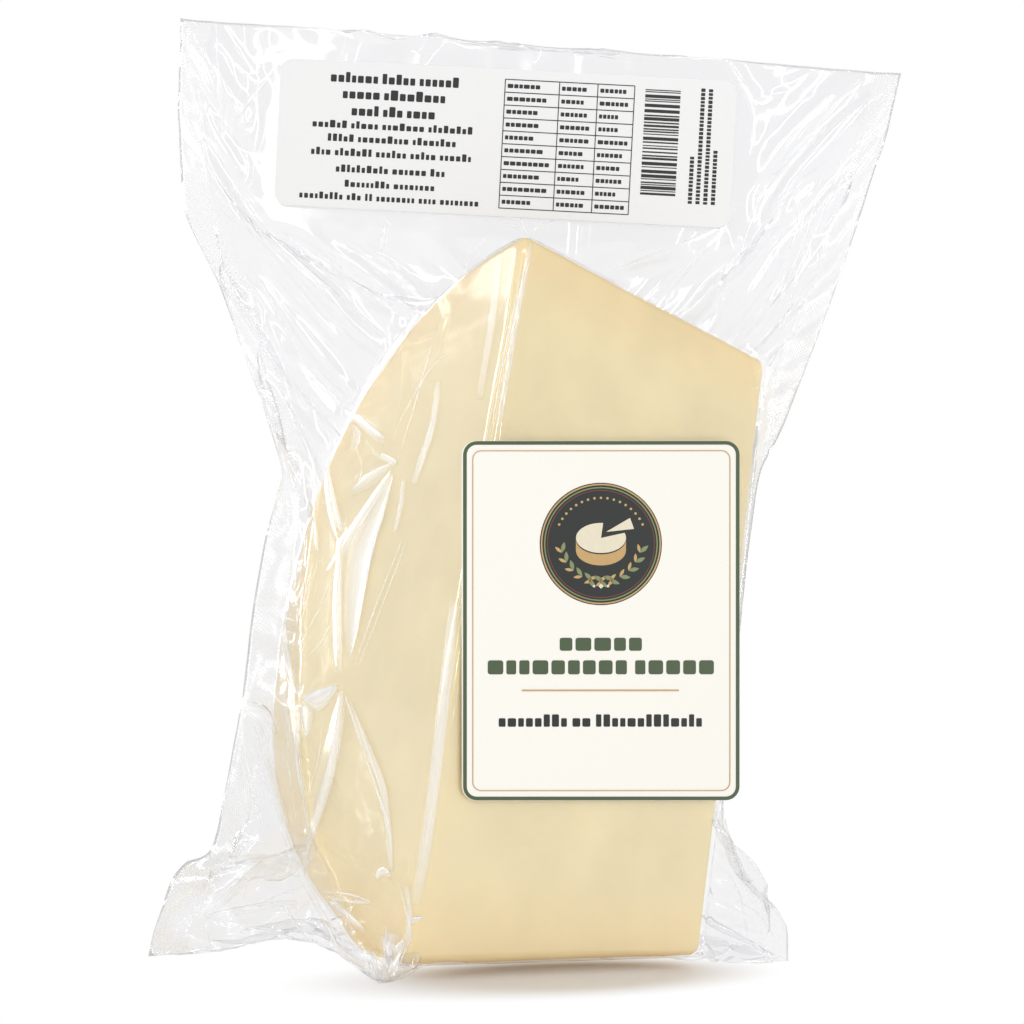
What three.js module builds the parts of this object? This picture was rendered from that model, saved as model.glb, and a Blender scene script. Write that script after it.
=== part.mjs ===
import * as THREE from 'three';

// A half wheel of provolone, shrunk into a clear sealed bag and standing on its end.
// Lengths are in millimetres. Heights and places are taken from the cheese's near bottom corner,
// and STAND moves everything so that the origin is under the middle of the pack, on the table.
const STAND = { x: 2.2, y: -64.3, z: 3 };

// The cheese is a D in section: a flat cut face towards the near edge and a rounded back.
const CHEESE = {
  height: 180,
  width: 99.7,
  depth: 100.9,
  widestLevel: 87.8,
  upperCurve: 1.99,
  lowerCurve: 2.59,
};
const CHEESE_TURN = THREE.MathUtils.degToRad(36);
const TURN_COS = Math.cos(CHEESE_TURN);
const TURN_SIN = Math.sin(CHEESE_TURN);
const TURN_TAN = Math.tan(CHEESE_TURN);
const FILM_GAP = 0.8;

// Spare film is folded under the rounded back, and that fold is what the cheese stands on.
const TABLE_LEVEL = -STAND.z;
const FOLD_DEPTH = 58;
const FOLD_TOP = 40;

// The flap over the cheese is two plies pressed into one sheet that leans towards the front.
const FLAP_LEAN = THREE.MathUtils.degToRad(12);
const FLAP_PIVOT = { y: 43, z: 225 };
const FLAP_FLAT_FROM = 196;
const SHEET_THICKNESS = 1.2;

// The outer edge of each side seam, from the table up to the mouth of the bag.
const LEFT_SEAM = [
  { x: -52.6, y: -12, z: -3 },
  { x: -53.7, y: -8, z: 5.4 },
  { x: -53.3, y: 4, z: 11 },
  { x: -53.8, y: 30, z: 18 },
  { x: -58.1, y: 46, z: 34 },
  { x: -61.5, y: 58, z: 53 },
  { x: -66.3, y: 68, z: 77 },
  { x: -68.1, y: 72, z: 99 },
  { x: -66.3, y: 71, z: 121 },
  { x: -75.6, y: 67, z: 140 },
  { x: -94.6, y: 58, z: 174 },
  { x: -109.3, y: 49.4, z: 195 },
  { x: -115.7, y: 43, z: 225 },
  { x: -119.3, y: 37, z: 253.1 },
];
const RIGHT_SEAM = [
  { x: 114.9, y: 86, z: -3 },
  { x: 112, y: 81, z: 7.6 },
  { x: 104.1, y: 76, z: 15.5 },
  { x: 93.2, y: 72, z: 20.4 },
  { x: 85.6, y: 70, z: 26.7 },
  { x: 84.8, y: 70, z: 72.7 },
  { x: 84, y: 66, z: 126 },
  { x: 83.8, y: 62, z: 144.8 },
  { x: 88.3, y: 58, z: 157.7 },
  { x: 92.5, y: 54, z: 177 },
  { x: 97.6, y: 48, z: 202.6 },
  { x: 106, y: 36.9, z: 253.5 },
  { x: 107.1, y: 33.1, z: 271.4 },
];

// The film is a grid whose columns follow the seams and the cheese's corners.
const COLUMNS = { leftWeb: 8, endFace: 10, cutFaceNear: 4, cutFaceFar: 10, rightWeb: 4 };
const BODY_ROWS = 30;
const FLAP_ROWS = 13;
const LEDGE_HEIGHT = 3;
const SHORTEST_GUIDE = 9;
const SETTLING_ROUNDS = 500;
const SUCTION = 0.8;

// Folds that the shrinking draws into the film, each a low ridge from one point to another in X and Z.
const FOLDS = [
  { from: [-112, 205], to: [-40, 168], height: 2.2, width: 5 },
  { from: [-98, 184], to: [-44, 150], height: 1.8, width: 4 },
  { from: [-70, 190], to: [-26, 176], height: 1.6, width: 4 },
  { from: [74, 192], to: [100, 232], height: 2, width: 4 },
  { from: [84, 170], to: [96, 214], height: 1.6, width: 4 },
  { from: [-56, 122], to: [-34, 150], height: 1.6, width: 4 },
  { from: [-57, 96], to: [-38, 34], height: 2, width: 4 },
  { from: [-40, 118], to: [-30, 72], height: 1.8, width: 4 },
  { from: [-24, 150], to: [-36, 120], height: 1.4, width: 4 },
  { from: [-52, 14], to: [-24, 10], height: 2.4, width: 4 },
  { from: [-50, 0], to: [-22, 8], height: 2, width: 4 },
  { from: [-24, 24], to: [-8, 2], height: 1.6, width: 4 },
  { from: [88, 10], to: [108, 6], height: 2, width: 4 },
];

// The label on the cut face is a card with slightly tapering sides, in X along the face and Z.
const FRONT_LABEL = {
  corners: [[7.9, 36.7], [107.4, 43.7], [89.8, 149.9], [-9.1, 119.9]],
  cornerRadius: 4.5,
  thickness: 0.4,
  gap: 0.5,
};
// The label on the flap is a rectangle, turned a little in the flap's plane.
const BACK_LABEL = {
  x: -12.2,
  up: 5.7,
  width: 143,
  height: 46,
  tilt: THREE.MathUtils.degToRad(6.1),
  cornerRadius: 4,
  thickness: 0.3,
  gap: 0.4,
};
const LABEL_CURVE_STEPS = 6;

// How far the cheese reaches back from its cut face at a height
function cheeseDepth(z) {
  const rise = z - CHEESE.widestLevel;
  const upper = rise > 0;
  const reach = upper ? CHEESE.height - CHEESE.widestLevel : CHEESE.widestLevel;
  const power = upper ? CHEESE.upperCurve : CHEESE.lowerCurve;
  const share = Math.min(Math.abs(rise) / reach, 1);
  return CHEESE.depth * (1 - share ** power) ** (1 / power);
}

// How far the wrapped contents reach back, with the fold of film under the rounded back
function wrappedDepth(z) {
  return z < FOLD_TOP ? Math.max(cheeseDepth(z), FOLD_DEPTH) : cheeseDepth(z);
}

// Where a seam is at a height, on straight stretches between its points
function seamAt(seam, z) {
  let upper = seam.findIndex((point) => point.z >= z);
  if (upper < 0) upper = seam.length - 1;
  upper = Math.max(upper, 1);
  const low = seam[upper - 1];
  const high = seam[upper];
  const share = THREE.MathUtils.clamp((z - low.z) / (high.z - low.z), 0, 1);
  return {
    x: THREE.MathUtils.lerp(low.x, high.x, share),
    y: THREE.MathUtils.lerp(low.y, high.y, share),
  };
}

function flapDepth(z) {
  return FLAP_PIVOT.y - Math.tan(FLAP_LEAN) * (z - FLAP_PIVOT.z);
}

// The X of every column at a height where the cheese is
function bodyColumns(z) {
  const sideways = Math.max(wrappedDepth(z) * TURN_SIN, SHORTEST_GUIDE);
  const rightCorner = CHEESE.width * TURN_COS;
  const stops = [
    seamAt(LEFT_SEAM, z).x,
    -sideways,
    0,
    rightCorner - sideways,
    rightCorner,
    seamAt(RIGHT_SEAM, z).x,
  ];
  const counts = Object.values(COLUMNS);
  const columns = [stops[0]];
  counts.forEach((count, stretch) => {
    for (let step = 1; step <= count; step += 1) {
      columns.push(THREE.MathUtils.lerp(stops[stretch], stops[stretch + 1], step / count));
    }
  });
  return columns;
}

// The X and Z of every point of the grid, row by row from the table to the mouth of the bag
function makeGrid() {
  const grid = [];
  for (let row = 0; row <= BODY_ROWS; row += 1) {
    const z = THREE.MathUtils.lerp(TABLE_LEVEL, CHEESE.height, row / BODY_ROWS);
    grid.push(bodyColumns(z).map((x) => ({ x, z })));
  }
  const ledge = CHEESE.height + LEDGE_HEIGHT;
  const ledgeColumns = bodyColumns(ledge);
  const last = ledgeColumns.length - 1;
  const mouthLeft = LEFT_SEAM.at(-1);
  const mouthRight = RIGHT_SEAM.at(-1);
  for (let row = 0; row <= FLAP_ROWS; row += 1) {
    const rise = row / FLAP_ROWS;
    grid.push(ledgeColumns.map((ledgeX, column) => {
      const across = column / last;
      const mouthX = THREE.MathUtils.lerp(mouthLeft.x, mouthRight.x, across);
      const mouthZ = THREE.MathUtils.lerp(mouthLeft.z, mouthRight.z, across);
      const z = THREE.MathUtils.lerp(ledge, mouthZ, rise);
      let x = THREE.MathUtils.lerp(ledgeX, mouthX, rise);
      if (column === 0) x = seamAt(LEFT_SEAM, z).x;
      if (column === last) x = seamAt(RIGHT_SEAM, z).x;
      return { x, z };
    }));
  }
  return grid;
}

// The nearest depth that the front ply may not pass, where the cheese is behind it
function frontLimit(x, z) {
  const left = -wrappedDepth(z) * TURN_SIN;
  const right = CHEESE.width * TURN_COS;
  const slack = 0.01;
  if (z > CHEESE.height || x < left - slack || x > right + slack) return Infinity;
  if (x < 0) return -x / TURN_TAN - FILM_GAP / TURN_SIN;
  return x * TURN_TAN - FILM_GAP / TURN_COS;
}

// The furthest depth that the cheese takes from the back ply
function backLimit(x, z) {
  const depth = wrappedDepth(z);
  const left = -depth * TURN_SIN;
  const right = CHEESE.width * TURN_COS;
  const slack = 0.01;
  if (z > CHEESE.height || x < left - slack || x > right + slack) return -Infinity;
  const farEnd = CHEESE.width * TURN_SIN + (right - x) / TURN_TAN + FILM_GAP / TURN_SIN;
  const roundBack = depth / TURN_COS + x * TURN_TAN + FILM_GAP / TURN_COS;
  return Math.min(farEnd, roundBack);
}

// Both plies settle on the cheese like stretched skins, and suction closes them where nothing is between
function settlePlies(grid) {
  const rows = grid.length;
  const last = grid[0].length - 1;
  const half = SHEET_THICKNESS / 2;
  const front = [];
  const back = [];
  grid.forEach((points) => {
    const start = seamAt(LEFT_SEAM, points[0].z).y;
    const end = seamAt(RIGHT_SEAM, points[last].z).y;
    const middle = points.map((point, column) => {
      if (point.z >= FLAP_FLAT_FROM) return flapDepth(point.z);
      return THREE.MathUtils.lerp(start, end, column / last);
    });
    front.push(middle.map((y, column) => {
      const { x, z } = points[column];
      return Math.min(y - half, frontLimit(x, z));
    }));
    back.push(middle.map((y, column) => {
      const { x, z } = points[column];
      return Math.max(y + half, backLimit(x, z));
    }));
  });
  for (let round = 0; round < SETTLING_ROUNDS; round += 1) {
    for (let row = 0; row < rows - 1; row += 1) {
      for (let column = 1; column < last; column += 1) {
        const { x, z } = grid[row][column];
        if (z >= FLAP_FLAT_FROM) continue;
        const onTable = row === 0;
        front[row][column] = Math.min(neighbours(front, row, column, onTable) + SUCTION, frontLimit(x, z));
        back[row][column] = Math.max(neighbours(back, row, column, onTable) - SUCTION, backLimit(x, z));
        keepApart(front, back, row, column);
      }
    }
  }
  return { front, back };
}

// The mean depth of the points beside this one, and of those above and below unless it is on the table
function neighbours(ply, row, column, onTable) {
  const beside = ply[row][column - 1] + ply[row][column + 1];
  if (onTable) return beside / 2;
  return (beside + ply[row - 1][column] + ply[row + 1][column]) / 4;
}

function keepApart(front, back, row, column) {
  if (back[row][column] - front[row][column] >= SHEET_THICKNESS) return;
  const middle = (front[row][column] + back[row][column]) / 2;
  front[row][column] = middle - SHEET_THICKNESS / 2;
  back[row][column] = middle + SHEET_THICKNESS / 2;
}

// How far the folds lift the film towards the front at a point
function foldLift(x, z) {
  let lift = 0;
  FOLDS.forEach(({ from, to, height, width }) => {
    const along = { x: to[0] - from[0], z: to[1] - from[1] };
    const length = Math.hypot(along.x, along.z);
    const share = ((x - from[0]) * along.x + (z - from[1]) * along.z) / length ** 2;
    if (share < 0 || share > 1) return;
    const aside = Math.hypot(x - from[0] - share * along.x, z - from[1] - share * along.z);
    const taper = Math.sin(Math.PI * share);
    lift = Math.max(lift, height * taper * Math.exp(-((aside / width) ** 2)));
  });
  return lift;
}

// Folds move both plies where they touch each other, and the front ply alone over the cheese
function pressFolds(grid, { front, back }) {
  const touching = 2 * SHEET_THICKNESS;
  grid.forEach((points, row) => {
    points.forEach(({ x, z }, column) => {
      const lift = foldLift(x, z);
      const together = back[row][column] - front[row][column] < touching;
      front[row][column] -= lift;
      if (together) back[row][column] -= lift;
    });
  });
}

// The closed skin of the wrapped pack: both plies, the edges of the sheet and the flat foot
function makeBagGeometry() {
  const grid = makeGrid();
  const plies = settlePlies(grid);
  pressFolds(grid, plies);
  const rows = grid.length;
  const columns = grid[0].length;
  const positions = [];
  [plies.front, plies.back].forEach((ply) => {
    grid.forEach((points, row) => {
      points.forEach(({ x, z }, column) => positions.push(x, ply[row][column], z));
    });
  });
  const frontAt = (row, column) => row * columns + column;
  const backAt = (row, column) => rows * columns + row * columns + column;
  const faces = [];
  const quad = (a, b, c, d) => faces.push(a, b, c, a, c, d);
  for (let row = 0; row < rows - 1; row += 1) {
    const above = row + 1;
    for (let column = 0; column < columns - 1; column += 1) {
      const next = column + 1;
      quad(frontAt(row, column), frontAt(row, next), frontAt(above, next), frontAt(above, column));
      quad(backAt(row, column), backAt(above, column), backAt(above, next), backAt(row, next));
    }
    const right = columns - 1;
    quad(frontAt(row, 0), frontAt(row + 1, 0), backAt(row + 1, 0), backAt(row, 0));
    quad(frontAt(row, right), backAt(row, right), backAt(row + 1, right), frontAt(row + 1, right));
  }
  const top = rows - 1;
  for (let column = 0; column < columns - 1; column += 1) {
    quad(frontAt(0, column), backAt(0, column), backAt(0, column + 1), frontAt(0, column + 1));
    quad(frontAt(top, column), frontAt(top, column + 1), backAt(top, column + 1), backAt(top, column));
  }
  const geometry = new THREE.BufferGeometry();
  geometry.setAttribute('position', new THREE.Float32BufferAttribute(positions, 3));
  geometry.setIndex(faces);
  geometry.computeVertexNormals();
  return geometry;
}

// A thin plate with these corners, rounded
function makePlate(corners, radius, thickness) {
  const shape = new THREE.Shape();
  const count = corners.length;
  corners.forEach((corner, index) => {
    const here = new THREE.Vector2(...corner);
    const before = new THREE.Vector2(...corners[(index + count - 1) % count]);
    const after = new THREE.Vector2(...corners[(index + 1) % count]);
    const enter = before.sub(here).setLength(radius).add(here);
    const leave = after.sub(here).setLength(radius).add(here);
    if (index === 0) shape.moveTo(enter.x, enter.y);
    else shape.lineTo(enter.x, enter.y);
    shape.quadraticCurveTo(here.x, here.y, leave.x, leave.y);
  });
  shape.closePath();
  return new THREE.ExtrudeGeometry(shape, {
    depth: thickness,
    bevelEnabled: false,
    curveSegments: LABEL_CURVE_STEPS,
  });
}

function makeBag() {
  const film = new THREE.MeshStandardMaterial({ color: 0xece6d2, roughness: 0.25, metalness: 0 });
  const bag = new THREE.Mesh(makeBagGeometry(), film);
  bag.name = 'bag';
  return bag;
}

// The card on the cut face stands just off the film, square to the face
function makeFrontLabel() {
  const { corners, cornerRadius, thickness, gap } = FRONT_LABEL;
  const card = new THREE.MeshStandardMaterial({ color: 0xf7f4eb, roughness: 0.6, metalness: 0 });
  const label = new THREE.Mesh(makePlate(corners, cornerRadius, thickness), card);
  label.name = 'front_label';
  label.rotation.x = Math.PI / 2;
  const face = new THREE.Group();
  face.rotation.z = CHEESE_TURN;
  const standOff = FILM_GAP + gap;
  label.position.y = -standOff;
  face.add(label);
  return face;
}

// The paper on the flap lies just off the front of the sheet
function makeBackLabel() {
  const { x, up, width, height, tilt, cornerRadius, thickness, gap } = BACK_LABEL;
  const paper = new THREE.MeshStandardMaterial({ color: 0xefefef, roughness: 0.7, metalness: 0 });
  const corners = [[-width, -height], [width, -height], [width, height], [-width, height]]
    .map(([right, rise]) => [right / 2, rise / 2]);
  const label = new THREE.Mesh(makePlate(corners, cornerRadius, thickness), paper);
  label.name = 'back_label';
  label.rotation.z = tilt;
  label.position.set(x, up, SHEET_THICKNESS / 2 / Math.cos(FLAP_LEAN) + gap);
  const flap = new THREE.Group();
  flap.position.set(0, FLAP_PIVOT.y, FLAP_PIVOT.z);
  flap.rotation.x = Math.PI / 2 + FLAP_LEAN;
  flap.add(label);
  return flap;
}

const pack = new THREE.Group();
pack.position.set(STAND.x, STAND.y, STAND.z);
pack.add(makeBag(), makeFrontLabel(), makeBackLabel());

export default pack;
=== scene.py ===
import math
from collections import namedtuple

import bmesh
import bpy
import numpy as np
from bpy.props import FloatProperty, FloatVectorProperty, IntProperty, PointerProperty
from mathutils import Matrix, Vector, noise
from mathutils.bvhtree import BVHTree


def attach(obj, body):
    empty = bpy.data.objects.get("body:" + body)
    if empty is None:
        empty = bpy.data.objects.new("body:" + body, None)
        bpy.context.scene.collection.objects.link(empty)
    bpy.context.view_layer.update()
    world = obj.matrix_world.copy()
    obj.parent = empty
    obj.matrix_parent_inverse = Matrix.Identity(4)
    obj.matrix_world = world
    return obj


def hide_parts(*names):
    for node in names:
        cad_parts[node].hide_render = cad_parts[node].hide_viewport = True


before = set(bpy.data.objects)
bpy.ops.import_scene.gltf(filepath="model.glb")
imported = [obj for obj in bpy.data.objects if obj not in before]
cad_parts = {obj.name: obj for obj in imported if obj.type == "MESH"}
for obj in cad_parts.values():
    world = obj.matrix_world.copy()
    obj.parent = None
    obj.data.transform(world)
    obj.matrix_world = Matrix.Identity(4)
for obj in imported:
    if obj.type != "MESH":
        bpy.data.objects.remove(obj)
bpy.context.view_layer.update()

bl_info = {
    "name": "Wrapped Half Wheel of Provolone",
    "version": (1, 0, 0),
    "blender": (4, 5, 0),
    "location": "3D View > Sidebar > Provolone",
    "description": "A half wheel of provolone shrunk into a clear bag, with two printed labels",
    "category": "Object",
}

# Lengths are in millimetres until a mesh is made, and a mesh is in metres.
MM = 0.001
# Keeps a division from failing where a length is nothing
TINY = 1e-9
WHITE = (1.0, 1.0, 1.0, 1.0)

# Points are worked out from the cheese's near bottom corner, which stands here in the row frame.
STAND = np.array((2.2, -64.3, 3.0))
CHEESE_TURN = math.radians(36)
ALONG = np.array((math.cos(CHEESE_TURN), math.sin(CHEESE_TURN), 0.0))
INWARD = np.array((-math.sin(CHEESE_TURN), math.cos(CHEESE_TURN), 0.0))
UP = np.array((0.0, 0.0, 1.0))

# The flap of empty bag above the cheese leans towards the front.
FLAP_LEAN = math.radians(12)
FLAP_PIVOT = np.array((0.0, 43.0, 225.0))
FLAP_RISE = np.array((0.0, -math.sin(FLAP_LEAN), math.cos(FLAP_LEAN)))
FLAP_FRONT = np.array((0.0, -math.cos(FLAP_LEAN), -math.sin(FLAP_LEAN)))

# The outer edge of each side seam, from the mouth of the bag down to the table.
LEFT_SEAM = (
    (-119.3, 37, 253.1), (-115.7, 43, 225), (-109.3, 49.4, 195), (-94.6, 58, 174), (-75.6, 67, 140),
    (-66.3, 71, 121), (-68.1, 72, 99), (-66.3, 68, 77), (-61.5, 58, 53), (-58.1, 46, 34),
    (-53.8, 30, 18), (-53.0, 26, 13.9), (-53.3, 21, 12.4), (-55.1, 10, 12.4), (-55.0, 2, 10.6),
    (-53.4, -8, 4.2), (-52.6, -12, -3),
)
RIGHT_SEAM = (
    (107.1, 33.1, 271.4), (106, 36.9, 253.5), (97.6, 48, 202.6), (92.5, 54, 177), (88.3, 58, 157.7),
    (83.8, 62, 144.8), (84, 66, 126), (84.8, 70, 72.7), (85.6, 70, 26.7), (93.2, 72, 20.4),
    (104.1, 76, 15.5), (112, 81, 7.6), (114.9, 86, -3),
)

# The bottom seam lies on the table, out past the near corner and then under the cheese.
BOTTOM_SEAM = (
    (-52.6, -12, -3), (-42, -6, -2.6), (-35, 9, -2.6), (-30, 20, -2.6), (-22, 18, -2.6),
    (-13, 6, -2.6), (-6, -10.5, -2.6), (-2, -5, -2.6), (8.5, 16.6, -2.7), (22.9, 23.4, -2.7),
    (38.8, 34.7, -2.7), (63.1, 55.6, -2.7), (84.7, 72.3, -2.7), (114.9, 86, -3),
)

# The photograph's camera, from its place, tilt and roll, and the focal length in its own pixels.
PHOTO_SIZE = 1024
CAMERA_PLACE = np.array((8.1, -230.0, 58.4))
CAMERA_TILT = math.radians(11.67)
CAMERA_ROLL = math.radians(9.1)
CAMERA_FOCUS = 958.7
SENSOR_WIDTH = 36.0


def linear(code):
    """The linear red, green and blue of an sRGB hex colour"""
    parts = [int(code[i:i + 2], 16) / 255 for i in (1, 3, 5)]
    return tuple(c / 12.92 if c <= 0.04045 else ((c + 0.055) / 1.055) ** 2.4 for c in parts)


def swatch(label, words, code):
    """A colour that a user can change, by its sRGB hex code"""
    return FloatVectorProperty(name=label, description=words, subtype="COLOR", default=linear(code), min=0,
                               max=1)


class CheeseSizes(bpy.types.PropertyGroup):
    height: FloatProperty(name="Height", description="Length of the cut face, in mm", default=180.0)
    width: FloatProperty(name="Width", description="Thickness of the half wheel, in mm", default=101.3)
    depth: FloatProperty(name="Depth", description="From the cut face to the rounded back, in mm",
                         default=100.9)
    widest: FloatProperty(name="Widest level", description="Height of the deepest point, in mm",
                          default=87.8)
    upper_curve: FloatProperty(name="Upper curve", description="Fullness of the upper back", default=1.99)
    lower_curve: FloatProperty(name="Lower curve", description="Fullness of the lower back", default=2.59)
    edge: FloatProperty(name="Edge radius", description="Rounding of the cut edges, in mm", default=2.5)
    far_edge: FloatProperty(name="Far edge radius", description="Rounding of the far end, in mm",
                            default=4.5)
    paste: swatch("Paste", "Colour of the cut cheese", "#EBDBAF")
    # Partly the paste's own deeper tone under the rind, and partly painted shade for the end face near the
    # rind
    outer: swatch("Outer paste", "Colour close under the rind", "#EDD7A5")
    rind: swatch("Rind", "Colour of the rounded back", "#E4C78C")


class BagSizes(bpy.types.PropertyGroup):
    width: FloatProperty(name="Width", description="Width of the flat bag, in mm", default=232.0)
    length: FloatProperty(name="Length", description="Length of the flat bag, in mm", default=328.0)
    seam: FloatProperty(name="Seam", description="Width of the heat seal on each side, in mm", default=10.0)
    stand_off: FloatProperty(name="Stand-off", description="From the film to the cheese, in mm",
                             default=0.45)
    seed: IntProperty(name="Seed", description="Which set of small crinkles is drawn", default=4)
    clear: swatch("Wetted film", "What a ply on the cheese lets through", "#FDFDFD")
    loose: swatch("Loose film", "What a ply off the cheese lets through", "#F8F8F9")


class LabelColours(bpy.types.PropertyGroup):
    card: swatch("Card", "Ivory card of the front label", "#F7F4EB")
    green: swatch("Green", "Border and title ink", "#47583A")
    gold: swatch("Gold", "Hairline and ornament ink", "#C9A66F")
    dark: swatch("Dark", "Ground of the emblem", "#1B211D")
    black: swatch("Black", "Small print", "#1C1C1C")
    red: swatch("Red", "Thin ring of the emblem", "#7E3B33")
    leaf: swatch("Leaf", "Sprigs of the emblem", "#818E61")
    cream: swatch("Cream", "Cut cheese of the emblem", "#E7DDC4")
    paper: swatch("Paper", "White paper of the back label", "#EAEAEA")


class StageSettings(bpy.types.PropertyGroup):
    # The table's colour is painted shade: darker and warmer than white board, it shows only inside the shade
    # oval and gives the contact shadow its brown tone.
    floor: swatch("Floor", "Colour of the table", "#E9E4E0")
    reach: FloatProperty(name="Floor reach", description="Half the floor's side", default=4.0,
                         unit="LENGTH")
    room: FloatProperty(name="Room light", description="Brightness of the studio's walls", default=0.72)


def sizes(context):
    """The four groups of settings of this scene"""
    scene = context.scene
    return scene.provolone_cheese, scene.provolone_bag, scene.provolone_labels, scene.provolone_stage


def add_node(tree, kind, inputs=(), **settings):
    """A node with its settings, whose inputs take a value, an output or another node's first output"""
    node = tree.nodes.new("ShaderNode" + kind)
    for name, value in settings.items():
        setattr(node, name, value)
    for name, value in dict(inputs).items():
        source = value.outputs[0] if isinstance(value, bpy.types.Node) else value
        if isinstance(source, bpy.types.NodeSocket):
            tree.links.new(source, node.inputs[name])
        else:
            node.inputs[name].default_value = source
    return node


def new_material(name):
    """An empty node material, its tree and a function that sends a shader node to its output"""
    material = bpy.data.materials.new(name)
    material.use_nodes = True
    tree = material.node_tree
    tree.nodes.clear()
    output = add_node(tree, "OutputMaterial")
    return material, tree, lambda shader: tree.links.new(shader.outputs[0], output.inputs["Surface"])


def opaque(colour):
    return (*colour, 1.0)


def make_object(name, points, faces, materials, smooth=True):
    """A mesh object from points in millimetres about the cheese's near bottom corner"""
    mesh = bpy.data.meshes.new(name)
    mesh.from_pydata(((np.asarray(points) + STAND) * MM).tolist(), [], [tuple(f) for f in faces])
    mesh.validate()
    mesh.polygons.foreach_set("use_smooth", [smooth] * len(mesh.polygons))
    for material in materials:
        mesh.materials.append(material)
    thing = bpy.data.objects.new(name, mesh)
    bpy.context.scene.collection.objects.link(thing)
    return thing


def points_of(mesh):
    """A mesh's points in millimetres about the cheese's near bottom corner"""
    points = np.empty(len(mesh.vertices) * 3)
    mesh.vertices.foreach_get("co", points)
    return points.reshape(-1, 3) / MM - STAND


def hand_in(thing, node):
    """The piece rides on the pack and stands for a solid, whose part is hidden"""
    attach(thing, "root")
    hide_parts(node)


def unit(vectors):
    """Vectors of length one, in the same directions"""
    return vectors / (np.linalg.norm(vectors, axis=-1, keepdims=True) + TINY)


def circle(turns):
    """Points at these angles on a circle of radius one"""
    return np.stack((np.cos(turns), np.sin(turns)), -1)


def run_along(points):
    """How far along a line each of its points is"""
    return np.r_[0, np.cumsum(np.linalg.norm(np.diff(points, axis=0), axis=1))]


def points_at(places, run, points):
    """The points of a line at these distances along it"""
    return np.stack([np.interp(places, run, column) for column in points.T], -1)


def even_out(values, rounds):
    """Smooths a line of values in place, with its ends held"""
    for _ in range(rounds):
        values[1:-1] = (values[:-2] + 2 * values[1:-1] + values[2:]) / 4


def tube_faces(rings, count):
    """Faces of a closed tube: rings of so many points, then one point that closes each end"""
    ring = np.arange(rings * count).reshape(rings, count)
    after = np.roll(ring, -1, axis=1)
    sides = np.stack((ring[:-1], after[:-1], after[1:], ring[1:]), -1).reshape(-1, 4)
    first, last = np.full(count, rings * count), np.full(count, rings * count + 1)
    ends = np.stack(((first, after[0], ring[0]), (last, ring[-1], after[-1]))).transpose(0, 2, 1)
    return [*sides.tolist(), *ends.reshape(-1, 3).tolist()]


# The cheese

OUTLINE_STEPS = 90
CORNER_STEPS = 6
FACE_STEPS = 56
WIDTH_STEPS = 34
ROUNDING_STEPS = 7
CAP_RINGS = 20
RIND_STEPS = 250

# How far the lower back has sagged onto the table, how deep in and how far round that, and up to what level
SLUMP = 3.3
SLUMP_DEPTH = 21.0
SLUMP_SPAN = 12.0
SLUMP_HEIGHT = 20.0

# The height and the breadth of the cheese's slow swellings and of its shallow dents
SWELL = 0.3
SWELL_SPAN = 34.0
DENT = 0.08
DENT_SPAN = 9.0

WELD_DISTANCE = 0.5


def back_outline(cheese, inset, steps):
    """The rounded back's outline as depth and height, from bottom to top, and its outward normals"""
    depth, height = cheese.depth - inset, cheese.height - 2 * inset
    low = cheese.widest - inset
    turn = np.linspace(0, math.pi / 2, steps)
    lower, upper = 2 / cheese.lower_curve, 2 / cheese.upper_curve
    below = np.stack((depth * np.sin(turn) ** lower, low - low * np.cos(turn) ** lower), 1)
    above = np.stack((depth * np.cos(turn) ** upper, low + (height - low) * np.sin(turn) ** upper), 1)
    line = np.concatenate((below, above[1:]))
    line[:, 1] += inset
    # Even steps along the line keep the faces square where the curve is fullest.
    run = run_along(line)
    line = points_at(np.linspace(0, run[-1], 2 * steps), run, line)
    tangent = np.gradient(line, axis=0)
    return line, unit(np.stack((tangent[:, 1], -tangent[:, 0]), 1))


def cheese_outline(cheese):
    """The whole D, drawn inside its rounding, with the outward normals"""
    line, normal = back_outline(cheese, cheese.edge, OUTLINE_STEPS)
    line = np.maximum(line, [cheese.edge, 0])
    first, last = (math.atan2(normal[end, 1], normal[end, 0]) for end in (0, -1))
    bottom = np.linspace(-math.pi, first, CORNER_STEPS)[:-1]
    top = np.linspace(last, math.pi, CORNER_STEPS)[1:]
    share = np.linspace(0, 1, FACE_STEPS)[1:-1, None]
    points = (np.tile(line[0], (len(bottom), 1)), line, np.tile(line[-1], (len(top), 1)),
              line[-1] + (line[0] - line[-1]) * share)
    normals = circle(bottom), normal, circle(top), np.tile((-1.0, 0.0), (len(share), 1))
    return np.concatenate(points), np.concatenate(normals)


def slump(depth, height):
    """How far the lower back has sagged onto the table at a depth and height, in millimetres"""
    inwards = np.exp(-((depth - SLUMP_DEPTH) / SLUMP_SPAN) ** 2)
    return SLUMP * inwards * np.clip(1 - height / SLUMP_HEIGHT, 0, 1)


def rind_distance(cheese, depth, height):
    """How far a point of the cut is from the rounded back, in millimetres"""
    line, _ = back_outline(cheese, 0.0, RIND_STEPS)
    gaps = np.hypot(depth[:, None] - line[None, :, 0], height[:, None] - line[None, :, 1])
    return gaps.min(axis=1)


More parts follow.
